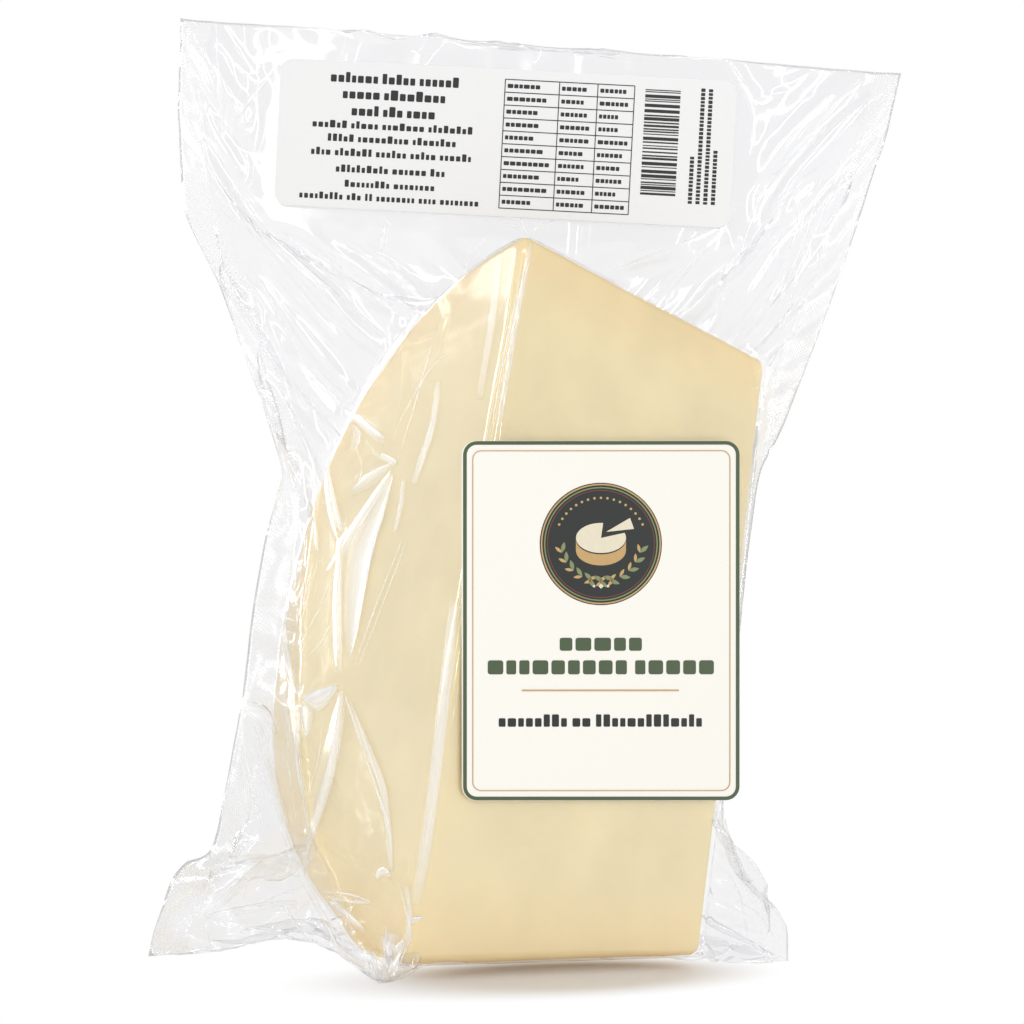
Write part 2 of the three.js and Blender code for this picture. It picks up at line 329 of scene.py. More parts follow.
def make_cheese_mesh(cheese):
    """A half wheel with softened edges: rings of points run along its width, and caps close the ends"""
    outline, normals = cheese_outline(cheese)
    edge, far_edge, width = cheese.edge, cheese.far_edge, cheese.width
    middle = outline.mean(axis=0)
    shares = np.linspace(0, 1, CAP_RINGS + 1)[1:-1]
    rings = [(0.0, middle + (outline - middle) * share) for share in shares]
    rings += [(edge - edge * math.cos(turn), outline + normals * edge * math.sin(turn))
              for turn in np.linspace(0, math.pi / 2, ROUNDING_STEPS)]
    full = outline + normals * edge
    rings += [(x, full) for x in np.linspace(edge, width - far_edge, WIDTH_STEPS)[1:-1]]
    # The far end is rounded more, so its rings draw in towards the middle of the outline's box.
    half = (full.max(axis=0) - full.min(axis=0)) / 2
    centre = full.min(axis=0) + half
    rings += [(width - far_edge * (1 - math.cos(turn)),
               centre + (full - centre) * (1 - far_edge * (1 - math.sin(turn)) / half))
              for turn in np.linspace(0, math.pi / 2, ROUNDING_STEPS + 2)[::-1]]
    rim = rings[-1][1]
    rings += [(width, centre + (rim - centre) * share) for share in shares[::-1]]
    flat = np.concatenate([np.insert(ring, 0, x, axis=1) for x, ring in rings])
    flat = np.vstack((flat, [(0.0, *middle), (width, *centre)]))
    flat[:, 2] -= slump(flat[:, 1], flat[:, 2])
    places = flat[:, :1] * ALONG + flat[:, 1:2] * INWARD + flat[:, 2:] * UP
    return places, tube_faces(len(rings), len(outline))


def make_cheese(context):
    cheese = sizes(context)[0]
    points, faces = make_cheese_mesh(cheese)
    thing = make_object("cheese", points, faces, [cheese_paste(cheese)])
    mesh = thing.data
    # The rings crowd together in the middle of each cap and at its corners, so points that meet become one.
    shell = bmesh.new()
    shell.from_mesh(mesh)
    bmesh.ops.remove_doubles(shell, verts=shell.verts, dist=WELD_DISTANCE * MM)
    bmesh.ops.recalc_face_normals(shell, faces=shell.faces)
    shell.to_mesh(mesh)
    shell.free()
    places = points_of(mesh)
    attribute = mesh.attributes.new("from_rind", "FLOAT", "POINT")
    from_rind = rind_distance(cheese, places @ INWARD, places[:, 2])
    attribute.data.foreach_set("value", from_rind.astype(np.float32))
    # A pressed and drained cheese is never true: its faces swell a little and carry shallow dents.
    for vertex, place in zip(mesh.vertices, places):
        swell = noise.noise(Vector(place / SWELL_SPAN)) * SWELL
        dent = noise.noise(Vector(place / DENT_SPAN + 7.0)) * DENT
        vertex.co += vertex.normal * ((swell + dent) * MM)
    hand_in(thing, "bag")
    return thing


def cheese_paste(cheese):
    """Stretched-curd cheese cut with a wire: dense, waxy and a little see-through"""
    material, tree, send = new_material("cheese_paste_wire_cut")
    place = add_node(tree, "TexCoord").outputs["Object"]
    # The paste deepens in colour close under the rind, and the rind itself is the darkest. The outer colour
    # is also partly painted shade: it is kept a little darker to stand in for the shade on the end face near
    # the rind.
    from_rind = add_node(tree, "Attribute", attribute_name="from_rind").outputs["Fac"]
    ramp = add_node(tree, "MapRange", {"From Min": 0.0, "From Max": 26.0, "Value": from_rind},
                    interpolation_type="SMOOTHSTEP")
    base = add_node(tree, "Mix", {"Factor": ramp, 6: opaque(cheese.outer), 7: opaque(cheese.paste)},
                    data_type="RGBA")
    skin = add_node(tree, "MapRange", {"From Min": 0.4, "From Max": 2.4, "To Min": 0.75, "To Max": 0.0,
                                       "Value": from_rind})
    rinded = add_node(tree, "Mix", {"Factor": skin, 6: base.outputs[2], 7: opaque(cheese.rind)},
                      data_type="RGBA")
    # Soft cloudy patches about 25 mm wide, as the curd was kneaded
    cloud = add_node(tree, "TexNoise", {"Scale": 40.0, "Detail": 3.0, "Roughness": 0.55, "Vector": place})
    patches = add_node(tree, "MapRange", {"From Min": 0.3, "From Max": 0.7, "To Min": 0.94, "To Max": 1.04,
                                          "Value": cloud})
    shade = add_node(tree, "VectorMath", {0: rinded.outputs[2], "Scale": patches}, operation="SCALE")
    # Grain of about 1 mm left by the wire
    grain = add_node(tree, "TexNoise", {"Scale": 900.0, "Detail": 4.0, "Roughness": 0.6, "Vector": place})
    bump = add_node(tree, "Bump", {"Strength": 0.12, "Distance": 0.0004, "Height": grain})
    shader = add_node(tree, "BsdfPrincipled", {"Roughness": 0.55, "IOR": 1.45, "Subsurface Weight": 0.35,
                                               "Subsurface Radius": (1.0, 0.62, 0.28),
                                               "Subsurface Scale": 0.006, "Base Color": shade,
                                               "Normal": bump})
    send(shader)
    return material


# The bag: two plies of flat film that air pressure and heat draw onto the cheese

TABLE = -STAND[2]
TABLE_CLEARANCE = 0.12
PLY_CLEARANCE = 0.3
PLY_TILT = 0.2
EDGE_ROUNDING = 3.0
COARSE_GRID = (22, 32)
EVERY = slice(None)

# The right seam's curve ends on the table this far above the flat bag's corner.
RIGHT_SEAM_START = 12.0

# How far the front and the back ply stand off the seams before the air is drawn out: levels up the flat bag,
# and widths there, with the width at the mouth
OPENINGS = (
    ((0, 20, 60, 200, 235, 262), (20, 60, 68, 66, 40, 10)),
    ((0, 20, 60, 140, 200, 245), (20, 70, 88, 88, 60, 15)),
)
MOUTH_OPENING = 2

# How far round the back label the film is held flat, the furthest that film moves in a round, how much of its
# speed a round keeps, and how much of the bottom seam is pinned from the left and from the right
LABEL_HOLD_FADE = 9.0
LABEL_HOLD = 0.5
FASTEST = 3.0
DRAG = 0.9
BOTTOM_PINNED = 95.0
BOTTOM_PINNED_RIGHT = 34.0

# The cut face draws film from this near, this far from its edges, by this share of the gap.
CLING_REACH = 8.0
CLING_MARGIN = 5.0
CLING = 0.5

# How much longer heat has let the front and the back ply become, up to where the flap begins
LET_OUT = (0.06, 0.2)
LET_OUT_TOP = 240.0
LET_OUT_FADE = 40.0

# Film this far off the cheese begins to be loose, and it is all loose this much further.
LOOSE_FROM = 1.5
LOOSE_SPAN = 3.0

# Rounds of evening out the film. All that is off the cheese has the first few, and only the web round a point
# this far above the near corner, and this wide, has them all.
FAIRING = 16
LOOSE_FAIRING = 3
FAIRING_SHARE = 0.7
APEX_ABOVE = 8.0
APEX_SPAN = 16.0

# Rounds of evening out the sealed bands, and half of their thickness
SEAM_FAIRING = 5
SEALED_HALF = 0.06

# One stage of shrinking: rounds, passes of each round, air pressure, the pull of the seams, how stiffly
# the film bends, and how much it resists being pushed together rather than crinkling
Stage = namedtuple("Stage", "rounds passes press pull bend push")
FIRST_STAGE = Stage(60, 6, 0.6, 0.5, 0.1, 0.0)
FINER_STAGES = (
    Stage(50, 8, 0.4, 0.3, 0.1, 0.0),
    Stage(50, 10, 0.25, 0.2, 0.08, 0.0),
    Stage(40, 12, 0.12, 0.15, 0.01, 0.3),
)


def smooth_larger(a, b, blend):
    share = np.clip(0.5 + 0.5 * (a - b) / blend, 0, 1)
    return b * (1 - share) + a * share + blend * share * (1 - share)


def cheese_distance(cheese, points):
    """How far points are outside the cheese, with its edges rounded"""
    x, y, z = points @ ALONG, points @ INWARD, points[..., 2]
    rise = z + slump(y, z) - cheese.widest
    upper = rise > 0
    reach = np.where(upper, cheese.height - cheese.widest, cheese.widest)
    power = np.where(upper, cheese.upper_curve, cheese.lower_curve)
    across = np.maximum(y, 1e-3) / cheese.depth
    along = np.abs(rise) / reach + 1e-6
    across_power, along_power = across ** power, along ** power
    total = across_power + along_power
    size = total ** (1 / power)
    slope = np.hypot(across_power / across / cheese.depth, along_power / along / reach) * size / total
    back = (size - 1) / np.maximum(slope, 1e-6)
    body = smooth_larger(back, -y, EDGE_ROUNDING)
    return smooth_larger(body, smooth_larger(-x, x - cheese.width, EDGE_ROUNDING), EDGE_ROUNDING)


def cheese_normal(cheese, points, here):
    """The direction straight out of the cheese"""
    step = 0.2
    slopes = [cheese_distance(cheese, points + np.eye(3)[k] * step) - here for k in range(3)]
    normal = np.stack(slopes, -1)
    return normal / (np.linalg.norm(normal, axis=-1, keepdims=True) + 1e-9)


def seam_curve(seam, count, length, start):
    """Points down a seam, evenly spaced on the flat bag, from its bottom to its mouth"""
    points = np.array(seam, float)
    run = run_along(points)
    flat = length - (length - start) * run / run[-1]
    curve = points_at(np.linspace(0, length, count), flat[::-1], points[::-1])
    even_out(curve, 3)
    return curve


def bottom_curve(count):
    """Points along the bottom seam, evenly spaced on the flat bag, from left to right"""
    points = np.array(BOTTOM_SEAM, float)
    run = run_along(points)
    return points_at(np.linspace(0, run[-1], count), run, points)


def blown_bag(bag, columns, rows):
    """The bag before the air is drawn out, wide open round the cheese"""
    left = seam_curve(LEFT_SEAM, rows + 1, bag.length, 0)
    right = seam_curve(RIGHT_SEAM, rows + 1, bag.length, RIGHT_SEAM_START)
    share = np.linspace(0, 1, columns + 1)[None, :, None]
    level = np.linspace(0, bag.length, rows + 1)
    tent = 1 - np.abs(2 * share[..., 0] - 1)
    front, back = (np.interp(level, (*levels, bag.length), (*widths, MOUTH_OPENING))
                   for levels, widths in OPENINGS)
    film = np.zeros((2, rows + 1, columns + 1, 3))
    film[:] = (1 - share) * left[:, None] + share * right[:, None]
    film[0, ..., 1] -= front[:, None] * tent
    film[1, ..., 1] += back[:, None] * tent
    film[..., 2] = np.maximum(film[..., 2], TABLE + TABLE_CLEARANCE)
    return film


def finer(film):
    """The same film on a grid with half the spacing"""
    plies, rows, columns, _ = film.shape
    fine = np.zeros((plies, 2 * rows - 1, 2 * columns - 1, 3))
    fine[:, ::2, ::2] = film
    fine[:, 1::2, ::2] = (film[:, 1:] + film[:, :-1]) / 2
    fine[:, :, 1::2] = (fine[:, :, 2::2] + fine[:, :, :-2:2]) / 2
    return fine


def ply_normals(film):
    """Normals of both plies, that point to the space between them"""
    across, along = np.zeros_like(film), np.zeros_like(film)
    across[:, :, 1:-1] = film[:, :, 2:] - film[:, :, :-2]
    across[:, :, 0] = film[:, :, 1] - film[:, :, 0]
    across[:, :, -1] = film[:, :, -1] - film[:, :, -2]
    along[:, 1:-1] = film[:, 2:] - film[:, :-2]
    along[:, 0] = film[:, 1] - film[:, 0]
    along[:, -1] = film[:, -1] - film[:, -2]
    normal = np.cross(across, along)
    normal /= np.sqrt((normal * normal).sum(-1, keepdims=True)) + 1e-9
    normal[0] *= -1
    return normal


def keep_length(film, one, other, rest, strength, push):
    """Moves pairs of points so that the film between them keeps its length"""
    a, b = film[one], film[other]
    gap = b - a
    length = np.sqrt((gap * gap).sum(-1, keepdims=True)) + 1e-9
    change = (length - rest) / length
    move = gap * (0.5 * strength * np.where(change > 0, change, change * push))
    film[one] = a + move
    film[other] = b - move


def drawn_out(bag, rows, columns):
    """Each point's place on its flat ply, which heat has let out where the ply covers the cheese"""
    share = np.linspace(0, 1, columns + 1)
    level = np.linspace(0, bag.length, rows + 1)
    middle = (level[1:] + level[:-1]) / 2
    covered = np.clip((LET_OUT_TOP - middle) / LET_OUT_FADE, 0, 1)[:, None] * np.sin(np.pi * share)
    flat = np.zeros((2, rows + 1, columns + 1, 2))
    flat[..., 0] = share * bag.width
    for ply, extra in enumerate(LET_OUT):
        flat[ply, 1:, :, 1] = np.cumsum((1 + extra * covered) * bag.length / rows, axis=0)
    return flat


def pairs_of(rows, columns):
    """Index pairs of neighbours along, across and on the diagonals, in sets that share no point"""
    found = []
    for start in (0, 1):
        count = (columns + 1 - start) // 2
        found.append(("across", (EVERY, EVERY, slice(start, start + 2 * count - 1, 2)),
                      (EVERY, EVERY, slice(start + 1, start + 2 * count, 2))))
        count = (rows + 1 - start) // 2
        found.append(("along", (EVERY, slice(start, start + 2 * count - 1, 2), EVERY),
                      (EVERY, slice(start + 1, start + 2 * count, 2), EVERY)))
    for row in (0, 1):
        for column in (0, 1):
            tall, wide = (rows + 1 - row) // 2, (columns + 1 - column) // 2
            low, high = slice(row, row + 2 * tall - 1, 2), slice(row + 1, row + 2 * tall, 2)
            left, right = slice(column, column + 2 * wide - 1, 2), slice(column + 1, column + 2 * wide, 2)
            found.append(("slant", (EVERY, low, left), (EVERY, high, right)))
            found.append(("slant", (EVERY, low, right), (EVERY, high, left)))
    return found


def weld(film):
    """The plies are one along all four edges of the bag"""
    for edge in ((EVERY, 0, EVERY), (EVERY, -1, EVERY), (EVERY, EVERY, 0), (EVERY, EVERY, -1)):
        film[edge] = film[edge].mean(0)


def label_hold(film):
    """How firmly the back label holds each point of the film flat, from 0 to 1"""
    offset = film - FLAP_PIVOT
    across, rise = offset[..., 0] - BACK_LABEL.x, offset @ FLAP_RISE - BACK_LABEL.up
    turn = BACK_LABEL.tilt
    right = across * math.cos(turn) + rise * math.sin(turn)
    top = rise * math.cos(turn) - across * math.sin(turn)
    beyond = np.hypot(np.maximum(np.abs(right) - BACK_LABEL.width / 2, 0),
                      np.maximum(np.abs(top) - BACK_LABEL.height / 2, 0))
    return np.clip(1 - beyond / LABEL_HOLD_FADE, 0, 1)


def hold_label(film):
    """Draws the film behind the back label into the flap's plane"""
    hold = label_hold(film)[..., None]
    off = ((film - FLAP_PIVOT) @ FLAP_FRONT)[..., None]
    off[0] -= PLY_CLEARANCE / 2
    off[1] += PLY_CLEARANCE / 2
    film -= off * FLAP_FRONT * hold * LABEL_HOLD


def shrink(film, cheese, bag, stage):
    """Air pressure and shrinking: rounds of pressing inwards and then keeping every rule"""
    rows, columns = film.shape[1] - 1, film.shape[2] - 1
    spacing = bag.width / columns
    strength = {"across": 1.0, "along": 1.0, "slant": 0.5}
    left = seam_curve(LEFT_SEAM, rows + 1, bag.length, 0)
    right = seam_curve(RIGHT_SEAM, rows + 1, bag.length, RIGHT_SEAM_START)
    bottom = bottom_curve(columns + 1)
    mouth = left[-1] + (right[-1] - left[-1]) * np.linspace(0, 1, columns + 1)[:, None]
    pinned, pinned_right = int(BOTTOM_PINNED / spacing), int(BOTTOM_PINNED_RIGHT / spacing)
    flat = drawn_out(bag, rows, columns)
    pairs = []
    for kind, one, other in pairs_of(rows, columns):
        rest = np.linalg.norm(flat[other] - flat[one], axis=-1, keepdims=True)
        pairs.append((one, other, rest, strength[kind]))
    speed = np.zeros_like(film)
    loose = np.zeros(film.shape[:3] + (1,))
    for _ in range(stage.rounds):
        before = film.copy()
        speed = speed * DRAG + stage.press * ply_normals(film)
        pace = np.sqrt((speed * speed).sum(-1, keepdims=True)) + 1e-9
        film += speed * np.minimum(1, FASTEST / pace)
        for turn in range(stage.passes):
            for one, other, rest, share in pairs:
                keep_length(film, one, other, rest, share, loose[one] * stage.push)
            film[:, :, 1:-1] += stage.bend * ((film[:, :, 2:] + film[:, :, :-2]) / 2 - film[:, :, 1:-1])
            film[:, 1:-1] += stage.bend * ((film[:, 2:] + film[:, :-2]) / 2 - film[:, 1:-1])
            weld(film)
            film[:, :, 0] += (left - film[:, :, 0]) * stage.pull
            film[:, :, -1] += (right - film[:, :, -1]) * stage.pull
            film[:, -1] += (mouth - film[:, -1]) * stage.pull
            for end in (slice(0, pinned), slice(columns + 1 - pinned_right, None)):
                film[:, 0, end] += (bottom - film[:, 0])[:, end] * stage.pull
            if turn % 3 == 2 or turn == stage.passes - 1:
                hold_label(film)
                away = rest_on_cheese(film, cheese, bag)
                loose = np.clip((away - LOOSE_FROM) / LOOSE_SPAN, 0, 1)[..., None]
                part_plies(film, spacing)
                weld(film)
        speed = film - before
    return film


def rest_on_cheese(film, cheese, bag):
    """Keeps the film outside the cheese and above the table, and tells how far it is from the cheese"""
    here = cheese_distance(cheese, film)
    touching = here < bag.stand_off
    if touching.any():
        points = film[touching]
        normal = cheese_normal(cheese, points, here[touching])
        film[touching] = points + normal * (bag.stand_off - here[touching])[:, None]
    cling_to_cut(film[0], cheese, bag)
    film[..., 2] = np.maximum(film[..., 2], TABLE + TABLE_CLEARANCE)
    return here


def cling_to_cut(ply, cheese, bag):
    """The wet cut face holds the film that lies on it, so no pleat stands there"""
    across, off, height = ply @ ALONG, -(ply @ INWARD), ply[..., 2]
    held = (across > CLING_MARGIN) & (across < cheese.width - CLING_MARGIN / 2) & (off < CLING_REACH)
    held &= (height > CLING_MARGIN) & (height < cheese.height - CLING_MARGIN) & (off > bag.stand_off)
    ply[held] += ((off - bag.stand_off)[held] * CLING)[:, None] * INWARD


def part_plies(film, spacing):
    """The front ply never passes behind the back ply, wherever the two have slid to"""
    across_and_up = [0, 2]
    low = film[..., across_and_up].min(axis=(0, 1, 2)) - spacing
    cells = ((film[..., across_and_up] - low) / spacing).astype(int)
    span = cells[..., 1].max() + 1
    cells = (cells[..., 0] * span + cells[..., 1]).reshape(2, -1)
    normals = ply_normals(film).reshape(2, -1, 3)
    plies = film.reshape(2, -1, 3)
    pushes = []
    for ply, other, forward in ((0, 1, 1), (1, 0, -1)):
        nearest = np.full(cells.max() + 1, -1)
        # Of several points in one cell, the one that faces this ply is written last.
        order = np.argsort(-forward * plies[other, :, 1])
        nearest[cells[other, order]] = order
        mate = nearest[cells[ply]]
        facing = normals[other, mate]
        depth = ((plies[ply] - plies[other, mate]) * facing).sum(-1)
        push = np.where((mate >= 0) & (facing[:, 1] * forward < -PLY_TILT), PLY_CLEARANCE - depth, 0)
        pushes.append(facing * np.clip(push, 0, spacing)[:, None] / 2)
    plies += np.array(pushes)


def settle_film(cheese, bag):
    """The shrunk bag as a grid of points for each ply"""
    film = shrink(blown_bag(bag, *COARSE_GRID), cheese, bag, FIRST_STAGE)
    stages = FINER_STAGES
    for stage in stages:
        film = shrink(finer(film), cheese, bag, stage)
    return film


def fair_film(film, cheese, bag):
    """Evens out the stiff sealed bands, the loose film and the web above the cheese's near corner"""
    columns = film.shape[2] - 1
    spacing = bag.width / columns
    loose = np.clip((cheese_distance(cheese, film) - LOOSE_FROM) / LOOSE_SPAN, 0, 1)
    apex = np.exp(-(np.linalg.norm(film - (cheese.height + APEX_ABOVE) * UP, axis=-1) / APEX_SPAN) ** 2)
    for turn in range(FAIRING):
        share = (loose if turn < LOOSE_FAIRING else loose * apex)[:, 1:-1, 1:-1, None]
        around = (film[:, 2:, 1:-1] + film[:, :-2, 1:-1] + film[:, 1:-1, 2:] + film[:, 1:-1, :-2]) / 4
        film[:, 1:-1, 1:-1] += (around - film[:, 1:-1, 1:-1]) * FAIRING_SHARE * share
    band = int(bag.seam / spacing)
    lift = ply_normals(film) * SEALED_HALF
    apart = np.clip(np.arange(band + 1) / 2, 0, 1)[:, None]
    for side, taper in ((slice(0, band + 1), 1), (slice(columns - band, None), -1)):
        sealed = film[:, :, side].mean(0)
        even_out(sealed, SEAM_FAIRING)
        film[:, :, side] = sealed - lift[:, :, side] * apart[::taper]
    closed = film[:, -band - 1:].mean(0)
    even_out(closed.swapaxes(0, 1), SEAM_FAIRING)
    film[:, -band - 1:] = closed - lift[:, -band - 1:] * apart[::-1, None]
    film[..., 2] = np.maximum(film[..., 2], TABLE + TABLE_CLEARANCE)
    weld(film)
    rest_on_cheese(film, cheese, bag)
    return film


def film_mesh(film, bag):
    """Both plies as one closed skin, with each point's place on the flat bag"""
    _, rows, columns, _ = film.shape
    front = np.arange(rows * columns).reshape(rows, columns)
    back = np.full((rows, columns), -1)
    inner = (rows - 2) * (columns - 2)
    back[1:-1, 1:-1] = rows * columns + np.arange(inner).reshape(rows - 2, columns - 2)
    back[0], back[-1], back[:, 0], back[:, -1] = front[0], front[-1], front[:, 0], front[:, -1]
    points = np.concatenate((film[0].reshape(-1, 3), film[1, 1:-1, 1:-1].reshape(-1, 3)))
    sides = []
    for ply, turn in ((front, 1), (back, -1)):
        corners = np.stack((ply[:-1, :-1], ply[:-1, 1:], ply[1:, 1:], ply[1:, :-1]), -1).reshape(-1, 4)
        sides.append(corners[:, ::turn])
    across, up = np.meshgrid(np.linspace(0, bag.width, columns), np.linspace(0, bag.length, rows))
    place = np.stack((across, up), -1)
    flat = np.concatenate((place.reshape(-1, 2), place[1:-1, 1:-1].reshape(-1, 2)))
    return points, np.concatenate(sides), flat


def camera_axes():
    forward = np.array((0.0, math.cos(CAMERA_TILT), math.sin(CAMERA_TILT)))
    level = np.array((1.0, 0.0, 0.0))
    rise = np.cross(level, forward)
    right = math.cos(CAMERA_ROLL) * level + math.sin(CAMERA_ROLL) * rise
    up = math.cos(CAMERA_ROLL) * rise - math.sin(CAMERA_ROLL) * level
    return right, up, forward


def photo_ray(u, v):
    """The direction from the camera through a pixel of the photograph"""
    right, up, forward = camera_axes()
    middle = PHOTO_SIZE / 2
    direction = (u - middle) / CAMERA_FOCUS * right - (v - middle) / CAMERA_FOCUS * up + forward
    return direction / np.linalg.norm(direction)


def photo_pixels(points):
    """Where the photograph shows points"""
    right, up, forward = camera_axes()
    offset = points - CAMERA_PLACE
    depth = offset @ forward
    middle = PHOTO_SIZE / 2
    across, rise = offset @ right / depth, offset @ up / depth
    return np.stack((middle + CAMERA_FOCUS * across, middle - CAMERA_FOCUS * rise), -1)


# How far a pleat and a fold taper towards their ends
TAPER = 0.6

# Pleats, as lines of pixels drawn downwards: the height of the ridge in mm, and how wide the flat facets
# on its left and right are, in pixels
PLEATS = (
    (((396, 466), (366, 516), (345, 545), (341, 600), (338, 672)), 1.9, 8, 36),
    (((343, 690), (338, 740), (322, 805), (301, 866)), 1.5, 14, 26),
    (((343, 690), (368, 752), (386, 800), (390, 874)), 0.5, 18, 10),
    (((400, 300), (403, 380), (398, 454)), 0.5, 14, 8),
    (((326, 468), (333, 505), (342, 548)), 0.9, 6, 16),
    (((312, 505), (303, 560), (294, 610)), 0.8, 12, 14),
    (((283, 630), (286, 668), (297, 704)), 0.9, 6, 15),
    (((344, 682), (322, 690), (302, 702), (303, 742)), 1.5, 28, 6),
    (((241, 703), (256, 706), (270, 718), (277, 742)), 1.2, 18, 5),
    (((340, 410), (366, 424), (390, 440)), 0.9, 16, 6),
    (((437, 290), (444, 318), (436, 345)), 0.5, 12, 6),
    (((297, 706), (303, 770), (310, 832)), 0.9, 12, 10),
    (((252, 738), (272, 795), (292, 850)), 1.1, 12, 10),
    (((303, 880), (322, 925), (344, 972)), 1.6, 14, 20),
    (((330, 897), (350, 914), (370, 932)), 1.0, 16, 10),
    (((204, 916), (235, 885), (262, 862)), 1.4, 16, 14),
    (((204, 916), (250, 910), (296, 905)), 1.3, 16, 16),
    (((225, 927), (277, 931), (325, 960)), 1.3, 16, 16),
    (((266, 232), (300, 265), (342, 300)), 1.4, 22, 16),
    (((287, 235), (337, 272), (394, 308)), 1.2, 20, 14),
    (((260, 281), (290, 335), (341, 404)), 1.4, 18, 20),
    (((724, 226), (664, 250), (604, 273)), 1.0, 18, 18),
    (((832, 190), (812, 240), (790, 300), (778, 340)), 1.5, 18, 16),
    (((771, 179), (760, 205), (738, 262)), 1.3, 18, 16),
    (((216, 25), (219, 80), (222, 135)), 1.0, 16, 16),
    (((278, 65), (250, 100), (222, 135)), 1.0, 16, 16),
    (((724, 53), (753, 108), (750, 158)), 1.2, 18, 18),
    (((868, 70), (820, 124), (771, 176)), 1.4, 18, 20),
    (((529, 249), (512, 330), (495, 438)), 0.7, 7, 6),
)


def raise_pleats(film):
    """Lifts the front ply along its pleats, as flat facets that meet in a ridge"""
    front, out = film[0], -ply_normals(film)[0]
    seen = ((CAMERA_PLACE - front) * out).sum(-1) > 0
    pixels = photo_pixels(front)
    lift = np.zeros(seen.shape)
    for line, height, left, right in PLEATS:
        line = np.array(line, float)
        run = run_along(line)
        for start, stop, begun, length in zip(line[:-1], line[1:], run[:-1], np.diff(run)):
            way = (stop - start) / length
            offset = pixels - start
            along = np.clip(offset @ way, 0, length)
            aside = np.linalg.norm(offset - along[..., None] * way, axis=-1)
            leftward = way[0] * offset[..., 1] - way[1] * offset[..., 0] > 0
            foot = np.where(leftward, left, right)
            taper = np.sin(np.pi * np.clip((begun + along) / run[-1], 0, 1)) ** TAPER
            lift = np.maximum(lift, height * (taper - aside / foot))
    film[0] += out * (lift * seen)[..., None]
    return film


# Wrinkles on the rind: their height, how far apart they are across and along the bag, how slim they are, and
# how large the patches with and without them are
WRINKLE = 1.3
WRINKLE_PITCH = Vector((1 / 26, 1 / 80, 1))
WRINKLE_SLIMNESS = 0.17
PATCH_PITCH = Vector((1 / 55, 1 / 70, 1))
PATCH_DRAW = Vector((0, 0, 9.5))
PATCH_CONTRAST = 3


def wrinkle_the_back(film, bag):
    """Raises long wrinkles in the ply that lies on the rind"""
    _, rows, columns, _ = film.shape
    lift = np.zeros((rows, columns))
    for row in range(1, rows - 1):
        for column in range(1, columns - 1):
            place = Vector((column * bag.width / (columns - 1), row * bag.length / (rows - 1), bag.seed))
            ridge = 1 - abs(noise.noise(place * WRINKLE_PITCH)) / WRINKLE_SLIMNESS
            patch = noise.noise(place * PATCH_PITCH + PATCH_DRAW) * PATCH_CONTRAST + 1
            lift[row, column] = max(ridge, 0) * min(max(patch, 0), 1)
    film[1] -= ply_normals(film)[1] * (lift * WRINKLE)[..., None]
    film[..., 2] = np.maximum(film[..., 2], TABLE + TABLE_CLEARANCE)
    return film


def clear_the_card(film):
    """Keeps the film behind the card on the cut face"""
    off = -(film @ INWARD)
    across, height = film @ ALONG, film[..., 2]
    corners = np.array(CARD_CORNERS)
    low, high = corners.min(0) - 2, corners.max(0) + 2
    inside = (across > 0) & (across < high[0]) & (off > CARD_CLEARANCE)
    inside &= (height > low[1]) & (height < high[1])
    film[inside] += (off - CARD_CLEARANCE)[inside][..., None] * INWARD
    return film


# Fat wets the film where it lies this close to the cheese, and no longer does this far off, in mm.
WETTED = 0.7
DRY = 4.0


def make_bag(context):
    cheese, bag, _, _ = sizes(context)
    film = fair_film(settle_film(cheese, bag), cheese, bag)
    raise_pleats(film)
    wrinkle_the_back(film, bag)
    clear_the_card(film)
    points, faces, flat = film_mesh(film, bag)
    thing = make_object("film", points, faces, [vacuum_film(bag)])
    layer = thing.data.uv_layers.new(name="flat_bag")
    corners = np.empty(len(thing.data.loops), int)
    thing.data.loops.foreach_get("vertex_index", corners)
    layer.data.foreach_set("uv", (flat[corners] * MM).astype(np.float32).ravel())
    loose = thing.data.attributes.new("loose", "FLOAT", "POINT")
    away = np.clip((cheese_distance(cheese, points) - WETTED) / (DRY - WETTED), 0, 1)
    loose.data.foreach_set("value", away.astype(np.float32))
    thing.visible_shadow = False
    hand_in(thing, "bag")
    return thing


FILM_MIRROR = 0.08
FILM_ROUGHNESS = 0.09


def mirror_share(tree, head_on, normal):
    """How much a sheet mirrors, from head on to a glancing look and alike from both of its sides"""
    glance = add_node(tree, "LayerWeight", {"Blend": 0.5, "Normal": normal}).outputs["Facing"]
    steep = add_node(tree, "Math", {0: glance, 1: 5.0}, operation="POWER")
    return add_node(tree, "Math", {0: steep, 1: 1 - head_on, 2: head_on}, operation="MULTIPLY_ADD")


def clear_film(tree, bag, normal, loose, haze):
    """Film that lets light through, scatters a little and mirrors like a sheet with two faces"""
    tint = add_node(tree, "Mix", {"Factor": loose, 6: opaque(bag.clear), 7: opaque(bag.loose)},
                    data_type="RGBA")
    through = add_node(tree, "BsdfTransparent", {"Color": tint.outputs[2]})
    milky = add_node(tree, "BsdfDiffuse", {"Color": (0.9, 0.9, 0.9, 1.0), "Normal": normal})
    body = add_node(tree, "MixShader", {"Fac": haze, 1: through, 2: milky})
    gloss = add_node(tree, "BsdfGlossy", {"Color": WHITE, "Roughness": FILM_ROUGHNESS,
                                          "Normal": normal})
    return add_node(tree, "MixShader", {"Fac": mirror_share(tree, FILM_MIRROR, normal), 1: body, 2: gloss})


KNURL = 1.3


